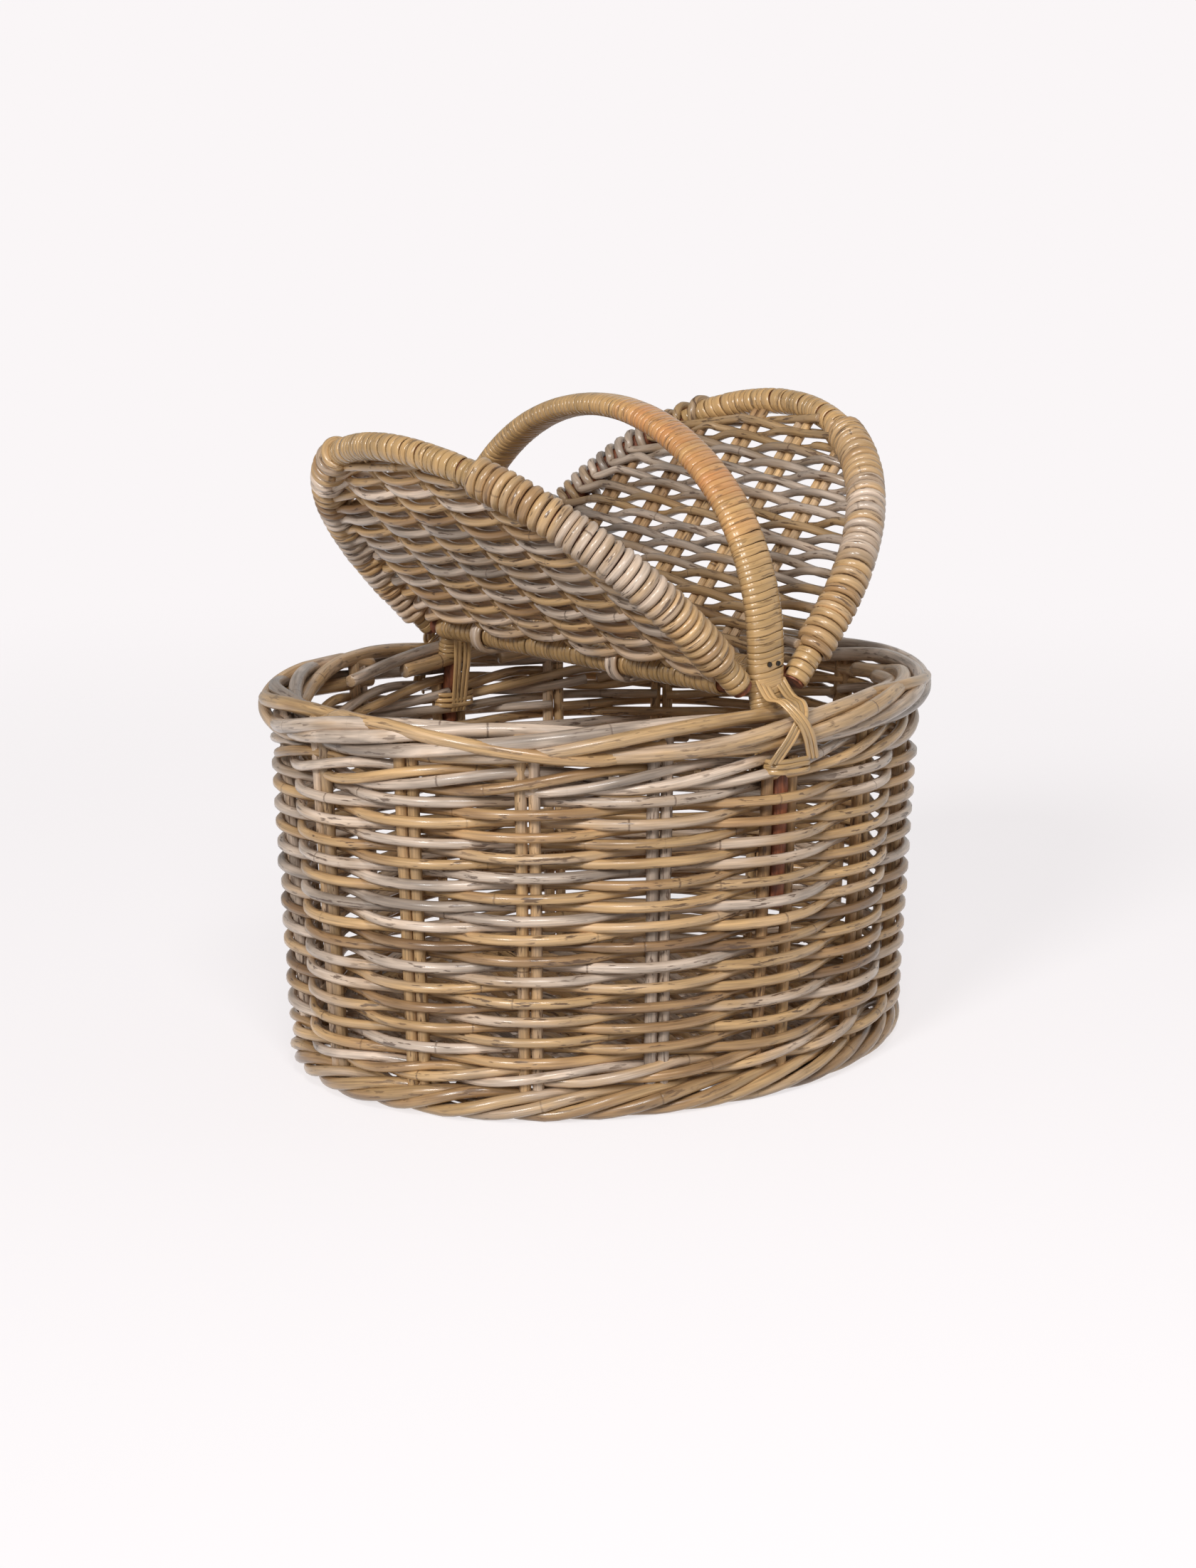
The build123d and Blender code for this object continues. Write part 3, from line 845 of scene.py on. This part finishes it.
        # Foot rods drawn darker, shade 0.86: painted shade on the low band
        self.rope("foot_rods", "foot_border", 51, 5, 7, 4.0 * MM, self.wall.foot_outset, 0.86)
        self.rope("upsett_rods", "upsett_wale", 53, 3, 8, 3.3 * MM, 10.6 * MM)
        self.rope("top_wale_rods", "top_wale", 57, 4, 6, 3.5 * MM, 10.6 * MM)
        self.rim()
        self.base()


# ---------------------------------------------------------------- handle


@dataclass
class Handle:
    """Cane wrap, lashings and crossbar of the fixed handle."""

    wall: OvalWall
    cane_half: float = 0.7 * MM
    half_depth: float = 7.35 * MM
    bar_play: float = 0.3 * MM
    knee_rise: float = 13 * MM
    knee_radius: float = 60 * MM
    foot_lean: float = math.radians(13.3)
    shoulder_radius: float = 135 * MM
    shoulder_turn: float = math.radians(50)
    straight_rise: float = 29.4 * MM
    strip: float = 3.3 * MM
    strip_half_depth: float = 0.8 * MM

    def __post_init__(self) -> None:
        """Reads where the arch stands from the crossbar and the rim."""
        self.half_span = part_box("crossbar")[1][1] + self.half_depth + self.bar_play
        self.rim_low, self.rim_high = (corner[2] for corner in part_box("rim_border"))
        self.knee = self.rim_high + self.knee_rise

    def spine(self) -> Spine:
        """Centre line of the arch, from the front foot over the crown to the rear foot."""
        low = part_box("handle_cane_wrap")[0][2]
        tangent = self.knee_radius * math.tan(self.foot_lean / 2)
        leg = (self.knee - low) / math.cos(self.foot_lean) - tangent
        rise = self.rim_high + self.straight_rise - self.knee - tangent
        knee = (self.knee_radius * self.foot_lean, self.foot_lean)
        shoulder = (self.shoulder_radius * self.shoulder_turn, -self.shoulder_turn)
        crown = self.shoulder_radius + (self.half_span - self.shoulder_radius) / math.cos(self.shoulder_turn)
        crown_turn = math.pi - 2 * self.shoulder_turn
        rising = [(leg, 0.0), knee, (rise, 0.0), shoulder]
        start_y = -self.half_span - (self.knee - low) * math.tan(self.foot_lean)
        axes = np.array([[0.0, 1, 0], [0, 0, 1], [1, 0, 0]])
        bends = [*rising, (crown * crown_turn, -crown_turn), *reversed(rising)]
        return Spine.bent(np.array([0, start_y, low]), math.pi / 2 - self.foot_lean, bends, axes)

    def wrap(self) -> None:
        """Flat cane wound from foot to foot, orange by the front shoulder and tan towards the feet."""
        spine = self.spine()
        strands = Strands(np.random.default_rng(61))
        half_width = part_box("handle_cane_wrap")[1][0]
        winding = Winding(
            pitch=4.0 * MM,
            half_thickness=self.cane_half,
            core_side=half_width - 2 * self.cane_half,
            core_out=self.half_depth - 2 * self.cane_half,
            core_squareness=2.7,
            squareness=3.4,
            unevenness=0.2,
            slope=0.8 * MM,
            fill=1.04,
            per_turn=24,
        )

        def hue(share: Array) -> Array:
            """Orange in a bell about the front shoulder, tan elsewhere."""
            return 0.26 + 0.6 * np.exp(-(((share - 0.34) / 0.15) ** 4))

        winding.wind(strands, spine, 0.0, spine.run[-1], hue)
        strands.piece("handle_cane", DRESS[Finish.CANE], "basket", "flat_cane", "handle_cane_wrap")

    def strap(self, strands: Strands, side: int, stops: tuple, shift: float, hue: float) -> None:
        """One flat strip laid through a few points.

        Args:
            strands: The mesh that it joins.
            side: Minus one for the front foot, one for the rear foot.
            stops: Rows of x, distance from the middle, height, and the angle at which its face looks up.
            shift: How far it lies from the stops, along X.
            hue: Its hue.
        """
        x, out, height, lean = smooth_run(np.array(stops), 8).T
        path = stacked(x + shift, side * out, height)
        lean = np.radians(lean)
        face = stacked(0.0, side * np.cos(lean), np.sin(lean))
        across = np.cross(unit(np.gradient(path, axis=0)), face)
        half_breadth = self.strip / 2 * 0.95
        strands.sweep(path, across, half_breadth, self.strip_half_depth, hue, squareness=2.5, knobbly=0.0)

    def band(
        self, strands: Strands, half_length: float, out: Array, height: float, section: tuple, hue: float
    ) -> None:
        """One level strip across the wall, bent to the wall at its ends.

        Args:
            strands: The mesh that it joins.
            half_length: Half its length.
            out: Its place along Y at each step.
            height: Its height.
            section: Half depth and squareness of its section.
            hue: Its hue.
        """
        half_depth, squareness = section
        level = height + 0.5 * MM * wobble(len(out), 3, strands.rng)
        path = stacked(np.linspace(-1, 1, len(out)) * half_length, out, level)
        strands.sweep(path, UP, self.strip / 2, half_depth, hue, squareness=squareness, knobbly=0.0)

    def lashing(self, side: int) -> None:
        """Crossed strips over the rim at one foot, a band under them, and the strands on the inner face.

        Args:
            side: Minus one for the front foot, one for the rear foot.
        """
        strands = Strands(np.random.default_rng(71 + side))
        rng = strands.rng
        node = f"{'front' if side < 0 else 'rear'}_handle_lashing"
        wall_out = float(self.wall.half_axes(self.rim_low)[1])
        outer, inner = wall_out + self.wall.rim_outset + 1.6 * MM, wall_out - 17.5 * MM
        front = self.half_span + self.half_depth
        high, low, half = self.rim_high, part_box(node)[0][2], 13 * MM
        for lean in (-1, 1):
            lift = (0.9 + 0.9 * lean) * MM
            for strip in (-1, 0, 1):
                stops = (
                    (-lean * 0.58 * half, front - 3 * MM, high + 15 * MM, 0.0),
                    (-lean * 0.6 * half, front + 1.8 * MM, high + 9.5 * MM, 20.0),
                    (-lean * 0.6 * half, front + 8 * MM, high + 4.6 * MM, 55.0),
                    (-lean * 0.5 * half, outer - 8 * MM, high + 2.4 * MM + lift, 55.0),
                    (-lean * 0.2 * half, outer - 1.2 * MM + lift, high - 4 * MM, 28.0),
                    (lean * 0.2 * half, outer + lift, high - 11 * MM, 4.0),
                    (lean * 0.6 * half, outer - 0.8 * MM + lift / 2, high - 19 * MM, -6.0),
                    (lean * 0.95 * half, outer - 3 * MM, high - 26 * MM, -8.0),
                    (lean * 1.25 * half, outer - 5.5 * MM, high - 33 * MM, 0.0),
                )
                self.strap(strands, side, stops, strip * self.strip * 1.03, 0.3 + 0.1 * rng.normal())
        share = np.abs(np.linspace(-1, 1, 24))
        for row in range(3):
            out = side * (wall_out + 13.8 * MM - 9 * MM * share**6)
            level = high - 39 * MM + row * self.strip
            self.band(strands, half + 4.5 * MM, out, level, (self.strip_half_depth, 2.5), 0.24)
        for strand in (-1, 1):
            stops = (
                (strand * 3.4 * MM, self.half_span - 2 * MM, high + 7 * MM, 180.0),
                (strand * 3.8 * MM, inner - 1.0 * MM, high + 1 * MM, 165.0),
                (strand * 4.0 * MM, inner - 1.6 * MM, high - 13 * MM, 180.0),
                (strand * 3.6 * MM, inner + 0.4 * MM, self.rim_low, 180.0),
                (strand * 3.0 * MM, inner + 4 * MM, low - 4 * MM, 180.0),
            )
            for half_strip in (-0.5, 0.5):
                self.strap(strands, side, stops, half_strip * self.strip, 0.35)
        for row in range(3):
            out = side * (wall_out - 14.5 * MM + 7 * MM * share**5)
            level = low + 1 * MM + row * self.strip * 1.1
            self.band(strands, half + 3 * MM, out, level, (1.0 * MM, 2.4), 0.4)
        strands.piece(f"{node[:-8]}_lashing_cane", DRESS[Finish.CANE], "basket", "flat_cane", node)

    def crossbar(self) -> None:
        """Flat cane wound on the bar between the handle's feet."""
        bar = HingeBar("crossbar_cane", "crossbar_cane_wrap", "crossbar", "basket", 81)
        bar.build()

    def build(self) -> None:
        """Makes every piece of the handle."""
        self.wrap()
        for side in (-1, 1):
            self.lashing(side)
        self.crossbar()


@dataclass
class HingeBar:
    """Cane on a straight bar along Y."""

    name: str
    wrap_node: str
    bar_node: str
    body: str
    seed: int
    pitch: float = 5.4 * MM
    half_thickness: float = 1.0 * MM

    def build(self) -> None:
        """Winds flat cane along the bar."""
        low, high = (np.array(corner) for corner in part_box(self.wrap_node))
        bar_low, bar_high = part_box(self.bar_node)
        radius = (bar_high[0] - bar_low[0]) / 2
        middle = (low + high) / 2
        start = np.array([middle[0], low[1], middle[2]])
        axes = np.array([[0.0, 1, 0], [1, 0, 0], [0, 0, 1]])
        spine = Spine.bent(start, 0.0, [(high[1] - low[1], 0.0)], axes)
        strands = Strands(np.random.default_rng(self.seed))
        winding = Winding(
            self.pitch,
            self.half_thickness,
            radius,
            radius,
            squareness=2.6,
            unevenness=0.22,
            slope=0.4 * MM,
        )
        knots = np.linspace(0, 1, 12)
        swings = strands.rng.normal(0.3, 0.16, len(knots))
        winding.wind(strands, spine, 0.0, spine.run[-1], lambda share: np.interp(share, knots, swings))
        strands.piece(self.name, DRESS[Finish.CANE], self.body, "flat_cane", self.wrap_node)


@dataclass
class HingeLoop:
    """Turns of split cane that hold a lid's bar to the crossbar."""

    node: str
    seed: int
    turns: int = 3
    half_thickness: float = 1.75 * MM
    proud: float = 0.7 * MM
    fill: float = 0.97

    def build(self) -> None:
        """Winds the strand round both bars.

        The middle goes round a stadium, two half circles joined by straight runs, and moves one
        strand's width along the bars at each turn.
        """
        low, high = (np.array(corner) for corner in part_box(self.node))
        strands = Strands(np.random.default_rng(self.seed))
        radius = (high[2] - low[2]) / 2 - self.half_thickness + self.proud
        straight = (high[0] - low[0]) - (high[2] - low[2])
        length = 2 * straight + 2 * np.pi * radius
        width = (high[1] - low[1]) / self.turns
        turn = np.linspace(0.1, self.turns - 0.1, self.turns * 44)
        run = np.mod(turn, 1.0) * length
        knots = np.cumsum([0.0, straight / 2, np.pi * radius, straight, np.pi * radius, straight / 2])
        angle = np.interp(run, knots, np.array([0, 0, np.pi, np.pi, 2 * np.pi, 2 * np.pi]))
        slide = np.interp(run, knots, np.array([0, 1, 1, -1, -1, 0]) * straight / 2)
        middle = (low + high) / 2
        along = low[1] + width / 2 + (turn - 0.1) / (self.turns - 0.2) * (self.turns - 1) * width
        path = stacked(middle[0] + slide + radius * np.sin(angle), along, middle[2] + radius * np.cos(angle))
        strands.sweep(
            path,
            np.array([0.0, 1.0, 0.0]),
            width / 2 * self.fill,
            self.half_thickness,
            0.78 + 0.08 * wobble(len(turn), 9, strands.rng),
            squareness=2.3,
            knobbly=0.0,
        )
        name = self.node.replace("hinge_loop", "loop_cane")
        strands.piece(name, DRESS[Finish.WEAVER], "basket", "grey_cane", self.node)


# ---------------------------------------------------------------- lids


@dataclass
class Lid:
    """One D-shaped lid, woven on pairs of ribs inside a wound pole.

    Its own axes are u from the hinge to the tip, v along the hinge and w up through the lid.
    """

    body: str
    side: int
    seed: int
    rib_places: tuple[float, ...] = tuple(value * MM for value in (-88, -38, 12, 62, 112))
    # Brightness of the weavers; main sets it per lid as painted light and shade
    shade: float = 1.0
    rib_gap: float = 8.0 * MM
    rib_radius: float = 3.1 * MM
    pole_radius: float = 7.0 * MM
    rod_radius: float = 3.05 * MM
    row_pitch: float = 6.55 * MM
    step: float = 8.4 * MM
    press: float = 0.9
    loop_room: float = 18 * MM
    end_wrap: float = 25 * MM
    overrun: float = 4 * MM
    tip_half_angle: float = math.radians(28)
    rib_start: float = 9.2 * MM
    rib_inset: float = 9 * MM
    row_start: float = 14.5 * MM
    row_inset: float = 14 * MM

    def __post_init__(self) -> None:
        """Reads the hinge, the opening and the D's two sizes from the frame."""
        joint = next(j for j in frame["record"]["behaviour"]["joints"] if j["child"] == self.body)
        self.hinge = np.array(joint["pos_m"])
        opening = math.radians(-joint["range_deg"][0])
        self.axes = np.array(
            [
                [self.side * math.cos(opening), 0.0, math.sin(opening)],
                [0.0, self.side, 0.0],
                [-self.side * math.sin(opening), 0.0, math.cos(opening)],
            ]
        )
        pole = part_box(f"{self.body}_frame_pole")[1]
        self.half_width = pole[1] - self.pole_radius
        self.reach = (pole[2] - self.hinge[2] - self.pole_radius) / math.sin(opening)
        self.straight = self.reach - self.half_width
        self.dense = -self.side

    def put(self, flat: Array) -> Array:
        """Points of the lid's own axes, in the basket's."""
        return self.hinge + flat @ self.axes

    def pole_v(self, u: Array, inset: float = 0.0) -> Array:
        """Half width of the D at a distance from the hinge: straight, then a circle's chord."""
        radius = self.half_width - inset
        beyond = np.maximum(np.asarray(u) - self.straight, 0.0)
        return np.sqrt(np.maximum(radius**2 - beyond**2, 0.0))

    def pole_out(self, u: Array) -> tuple[Array, Array]:
        """The pole's outward direction on the side of positive v."""
        beyond = np.maximum(np.asarray(u) - self.straight, 0.0) / self.half_width
        return beyond, np.sqrt(np.maximum(1 - beyond**2, 0.0))

    def spine(self) -> Spine:
        """The pole's centre line, from one cut end round the tip to the other."""
        bends = [
            (self.straight + self.overrun, 0.0),
            (math.pi * self.half_width, math.pi),
            (self.straight + self.overrun, 0.0),
        ]
        start = self.put(np.array([-self.overrun, -self.half_width, 0.0]))
        return Spine.bent(start, 0.0, bends, self.axes)

    def ribs(self) -> None:
        """Pairs of straight rods from the hinge bar to the tip."""
        strands = Strands(np.random.default_rng(self.seed))
        rng = strands.rng
        for middle in self.rib_places:
            hue = rng.uniform(0.05, 0.5)
            for side in (-0.5, 0.5):
                v = middle + side * self.rib_gap
                reach = self.straight + math.sqrt((self.half_width - self.rib_inset) ** 2 - v**2)
                u = np.linspace(self.rib_start, reach, 40)
                path = stacked(u, v + 0.5 * MM * wobble(40, 4, rng), 0.3 * MM * wobble(40, 4, rng))
                strands.sweep(self.put(path), self.axes[1], self.rib_radius, hue=hue, sides=10)
        name, node = f"{self.body}_rib_rods", f"{self.body}_ribs"
        strands.piece(name, DRESS[Finish.STAKE], self.body, "stake_rattan", node)

    def row(self, u: float, number: int, rng: np.random.Generator) -> Array:
        """Points of one row, from the densely wound side to the looped side.

        The height is a cosine, highest over one rib pair and lowest under the next, and turned by
        half a period from row to row.

        Args:
            u: Distance from the hinge.
            number: Row number.
            rng: The source of chance.

        Returns:
            Points in the lid's own axes, from negative to positive v.
        """
        edge = float(self.pole_v(u, self.loop_room))
        v = np.linspace(-edge, edge, max(5, round(2 * edge / self.step)))
        pitch = self.rib_places[1] - self.rib_places[0]
        wave = np.cos(np.pi * ((v - self.rib_places[0]) / pitch + number))
        reach = (self.rib_radius + self.rod_radius) * self.press
        w = reach * wave * (1.16 - 0.16 * wave**2) * (1 + 0.1 * wobble(len(v), 4, rng))
        return stacked(u + 0.9 * MM * wobble(len(v), 5, rng), v, w)

    def weave(self) -> None:
        """Weavers that go out and back as two rows, with two turns round the pole between.

        On the looped side each weaver goes twice over the pole, one row apart, on a helix about the
        pole's centre line. On the other side both its ends go into the dense winding.
        """
        strands = Strands(np.random.default_rng(self.seed + 1))
        rng = strands.rng
        mirror = np.array([1.0, -self.dense, 1.0])
        first, last = self.row_start, self.straight + self.half_width - self.row_inset
        count = 2 * round(((last - first) / self.row_pitch + 1) / 2)
        levels = np.linspace(first, last, count)
        round_pole = self.pole_radius + self.rod_radius - 0.4 * MM
        for number in range(0, count, 2):
            near, far = levels[number], levels[number + 1]
            pitch = far - near
            hue = self.hue(rng)
            out_row = self.row(near, number, rng)
            back_row = self.row(far, number + 1, rng)
            turn = np.radians(np.arange(-60, 601, 33))
            share = np.linspace(0, 1, len(turn))
            u = near + pitch * (1.8 * share - 0.4)
            out_u, out_v = self.pole_out(u)
            ring = round_pole * np.sin(turn)
            loop = stacked(u + ring * out_u, self.pole_v(u) + ring * out_v, round_pole * np.cos(turn))
            ends = []
            for level, sign in ((near + 0.3 * pitch, -1.0), (far - 0.3 * pitch, 1.0)):
                edge = float(self.pole_v(level, 5 * MM))
                ends.append([level, -edge, sign * 7.5 * MM])
            flat = np.concatenate([[ends[0]], out_row, loop, back_row[::-1], [ends[1]]])
            path = smooth_run(self.put(flat * mirror), 4)
            radius = self.rod_radius * (rng.uniform(0.93, 1.08) + 0.03 * wobble(len(path), 6, rng))
            drift = hue + 0.08 * wobble(len(path), 4, rng)
            # self.shade darkens or lightens the whole lid's weavers: painted light and shade
            strands.sweep(path, self.axes[0], radius, hue=drift, shade=self.shade * rng.normal(1.0, 0.09))
        strands.piece(
            f"{self.body}_weavers",
            DRESS[Finish.WEAVER],
            self.body,
            "weave_rattan",
            f"{self.body}_woven_panel",
            f"{self.body}_rear_side_wrap",
        )

    def hue(self, rng: np.random.Generator) -> float:
        """Grey for more than half of the lid's rods, honey for the rest."""
        return rod_hue(rng, 0.45, (0.32, 0.08), (0.7, 0.1))

    def windings(self) -> None:
        """Round rod on the dense side, flat cane on the tip and on both cut ends."""
        spine = self.spine()
        total = spine.run[-1]
        middle, tip = total / 2, self.half_width * self.tip_half_angle
        core = {"core_side": self.pole_radius, "core_out": self.pole_radius}
        round_rod = Winding(6.3 * MM, 2.95 * MM, **core, unevenness=0.12, slope=1.0 * MM)
        flat = Winding(5.6 * MM, 0.85 * MM, **core, squareness=2.7, unevenness=0.3, slope=0.9 * MM)
        ends = {"front": self.dense, "rear": -self.dense}
        strands = Strands(np.random.default_rng(self.seed + 2))
        span = (self.end_wrap, middle - tip) if self.dense < 0 else (middle + tip, total - self.end_wrap)
        toward_tip = 1.0 if self.dense < 0 else -1.0

        def hue(share: Array) -> Array:
            """Honey at the hinge end and by the tip, grey between."""
            from_hinge = share if toward_tip > 0 else 1 - share
            return 0.3 + 0.42 * np.exp(-(((from_hinge - 0.5) / 0.24) ** 4))

        round_rod.wind(strands, spine, *span, hue)
        name, node = f"{self.body}_front_winding", f"{self.body}_front_side_wrap"
        strands.piece(name, DRESS[Finish.WEAVER], self.body, "weave_rattan", node)
        strands = Strands(np.random.default_rng(self.seed + 3))
        flat.wind(strands, spine, middle - tip, middle + tip, lambda share: 0.3 + 0.1 * np.cos(9 * share))
        name, node = f"{self.body}_tip_cane", f"{self.body}_tip_cane_wrap"
        strands.piece(name, DRESS[Finish.CANE], self.body, "flat_cane", node)
        for end, direction in ends.items():
            strands = Strands(np.random.default_rng(self.seed + 5 + direction))
            start, stop = flat.pitch / 2, self.end_wrap
            span = (start, stop) if direction < 0 else (total - stop, total - start)
            flat.wind(strands, spine, *span, lambda share: 0.25 + 0.1 * share)
            name, node = f"{self.body}_{end}_end_cane", f"{self.body}_{end}_end_wrap"
            strands.piece(name, DRESS[Finish.CANE], self.body, "flat_cane", node)

    def build(self) -> None:
        """Makes every piece of the lid."""
        self.ribs()
        self.weave()
        self.windings()
        name, wrap, bar = (f"{self.body}_{part}" for part in ("bar_cane", "bar_cane_wrap", "hinge_bar"))
        HingeBar(name, wrap, bar, self.body, self.seed + 9).build()


# ---------------------------------------------------------------- studio


@dataclass(frozen=True)
class Studio:
    """Pale floor, soft light and the camera."""

    azimuth: float = math.radians(-38.22)
    elevation: float = math.radians(11.74)
    distance: float = 1.8653
    aim_height: float = 0.1742
    aim_shift: float = -0.0023
    lens: float = 83.48
    floor_radius: float = 2.4
    glow: float = 0.7
    glow_strength: float = 1.075
    surroundings: tuple[float, float] = (0.55, 0.21)
    sun: tuple[float, float, float] = (-0.34, 0.43, 0.63)
    sun_power: float = 1.75
    fill: tuple[float, float, float] = (2.0, 1.4, -2.0)
    fill_power: float = 0.5
    panel: tuple[float, float, float] = (0.15, 1.45, 1.5)
    panel_size: float = 0.45
    panel_power: float = 15.0
    pale: tuple = colour(250, 246, 247)

    def axes(self) -> tuple[Array, Array, Array]:
        """The camera's right, up and back directions."""
        sin_a, cos_a = math.sin(self.azimuth), math.cos(self.azimuth)
        sin_e, cos_e = math.sin(self.elevation), math.cos(self.elevation)
        back = np.array([sin_a * cos_e, -cos_a * cos_e, sin_e])
        right = np.array([cos_a, sin_a, 0.0])
        return right, np.cross(back, right), back

    def camera(self) -> None:
        """Camera on the line of sight, aimed at the middle of the basket."""
        right, up, back = self.axes()
        aim = np.array([0.0, 0.0, self.aim_height]) + self.aim_shift * right
        data = bpy.data.cameras.new("camera")
        data.sensor_fit = "HORIZONTAL"
        data.sensor_width = 36.0
        data.lens = self.lens
        data.clip_end = 50.0
        view = bpy.data.objects.new("camera", data)
        place = np.eye(4)
        place[:3, :3] = np.stack([right, up, back], axis=1)
        place[:3, 3] = aim + back * self.distance
        view.matrix_world = Matrix(place.tolist())
        bpy.context.scene.collection.objects.link(view)
        bpy.context.scene.camera = view

    def floor(self) -> None:
        """Round floor, pale all over, that fades out towards its edge."""
        turn = np.linspace(0, 2 * np.pi, 96, endpoint=False)
        rim = stacked(np.cos(turn), np.sin(turn), 0.0) * self.floor_radius
        mesh = bpy.data.meshes.new("floor")
        mesh.from_pydata(rim.tolist(), [], [list(range(len(rim)))])
        nodes = Nodes(bpy.data.materials.new("pale floor"))
        place = nodes.add("TexCoord", {}).outputs["Object"]
        away = nodes.add("VectorMath", {0: place}, operation="LENGTH").outputs["Value"]
        fade = nodes.band(away, 0.3 * self.floor_radius, 0.95 * self.floor_radius)
        matt = nodes.add("BsdfDiffuse", {"Color": self.pale}).outputs[0]
        glow = nodes.add("Emission", {"Color": self.pale, "Strength": self.glow_strength}).outputs[0]
        solid = nodes.add("MixShader", {0: self.glow, 1: matt, 2: glow}).outputs[0]
        clear = nodes.add("BsdfTransparent", {}).outputs[0]
        mesh.materials.append(nodes.finish(nodes.add("MixShader", {0: fade, 1: solid, 2: clear}).outputs[0]))
        floor = bpy.data.objects.new("floor", mesh)
        floor.visible_diffuse = False
        bpy.context.scene.collection.objects.link(floor)

    def aimed(self, data: bpy.types.Light, place: Array) -> None:
        """Hangs a light at a point and turns it to the basket.

        Args:
            data: The light.
            place: Where it hangs, along the camera's right, up and its level way back.
        """
        right, _, back = self.axes()
        level_back = unit(back * np.array([1.0, 1.0, 0.0]))
        aim = np.array([0.0, 0.0, self.aim_height])
        origin = right * place[0] + level_back * place[2] + np.array([0.0, 0.0, place[1]])
        behind = unit(origin - aim)
        beside = unit(np.cross(np.array([0.0, 0.0, 1.0]), behind))
        matrix = np.eye(4)
        matrix[:3, :3] = np.stack([beside, np.cross(behind, beside), behind], axis=1)
        matrix[:3, 3] = origin
        light = bpy.data.objects.new(data.name, data)
        light.matrix_world = Matrix(matrix.tolist())
        bpy.context.scene.collection.objects.link(light)

    def lamps(self) -> None:
        """A soft sun from the front left, a faint wide one from behind, and a panel for the rods' shine."""
        sun = bpy.data.lights.new("sun", "SUN")
        sun.energy, sun.angle = self.sun_power, math.radians(14)
        self.aimed(sun, np.array(self.sun) * 3)
        fill = bpy.data.lights.new("fill", "SUN")
        fill.energy, fill.angle = self.fill_power, math.radians(90)
        self.aimed(fill, np.array(self.fill))
        panel = bpy.data.lights.new("panel", "AREA")
        panel.shape, panel.size, panel.energy = "SQUARE", self.panel_size, self.panel_power
        self.aimed(panel, np.array(self.panel))

    def world(self) -> None:
        """Even pale surroundings; as a light they are dimmer, and dimmest from above."""
        nodes = Nodes(bpy.data.worlds.new("studio"), "OutputWorld")
        way = nodes.add("TexCoord", {}).outputs["Generated"]
        rise = nodes.add("SeparateXYZ", {0: way}).outputs["Z"]
        below, above = self.surroundings
        sockets = {"Value": rise, "From Min": -0.5, "From Max": 0.8, "To Min": below, "To Max": above}
        level = nodes.add("MapRange", sockets).outputs[0]
        light = nodes.add("Background", {"Color": (1.0, 1.0, 1.0, 1.0), "Strength": level}).outputs[0]
        seen = nodes.add("Background", {"Color": self.pale}).outputs[0]
        to_camera = nodes.add("LightPath", {}).outputs["Is Camera Ray"]
        mix = nodes.add("MixShader", {0: to_camera, 1: light, 2: seen})
        bpy.context.scene.world = nodes.finish(mix.outputs[0])

    def build(self) -> None:
        """Sets the whole studio."""
        self.camera()
        self.floor()
        self.world()
        self.lamps()
        bpy.context.scene.view_settings.view_transform = "Standard"


def dress_poles() -> None:
    """Gives the CAD pieces that stay their finishes."""
    for name, node in frame["nodes"].items():
        if name.endswith(("pole", "hinge_bar", "crossbar", "side_rods")):
            finish = Finish.POLE
        elif name.endswith("tacks"):
            finish = Finish.METAL
        else:
            continue
        node.data.materials.clear()
        node.data.materials.append(DRESS[finish])


def main() -> None:
    """Builds the basket and its studio."""
    logging.basicConfig(level=logging.INFO, format="%(name)s %(message)s")
    wall = OvalWall()
    WovenBody(wall).build()
    Handle(wall).build()
    loops = [name for name in frame["nodes"] if name.endswith("hinge_loop")]
    for number, node in enumerate(sorted(loops)):
        HingeLoop(node, 90 + number).build()
    # Right lid's weavers drawn darker: partly their own grey-brown, partly painted shade on its sunlit top.
    # Left lid's weavers drawn lighter: painted light on its shaded underside.
    Lid("right_lid", 1, 100, shade=0.73).build()
    Lid("left_lid", -1, 200, shade=1.08).build()
    dress_poles()
    Studio().build()


if __name__ == "__main__":
    main()
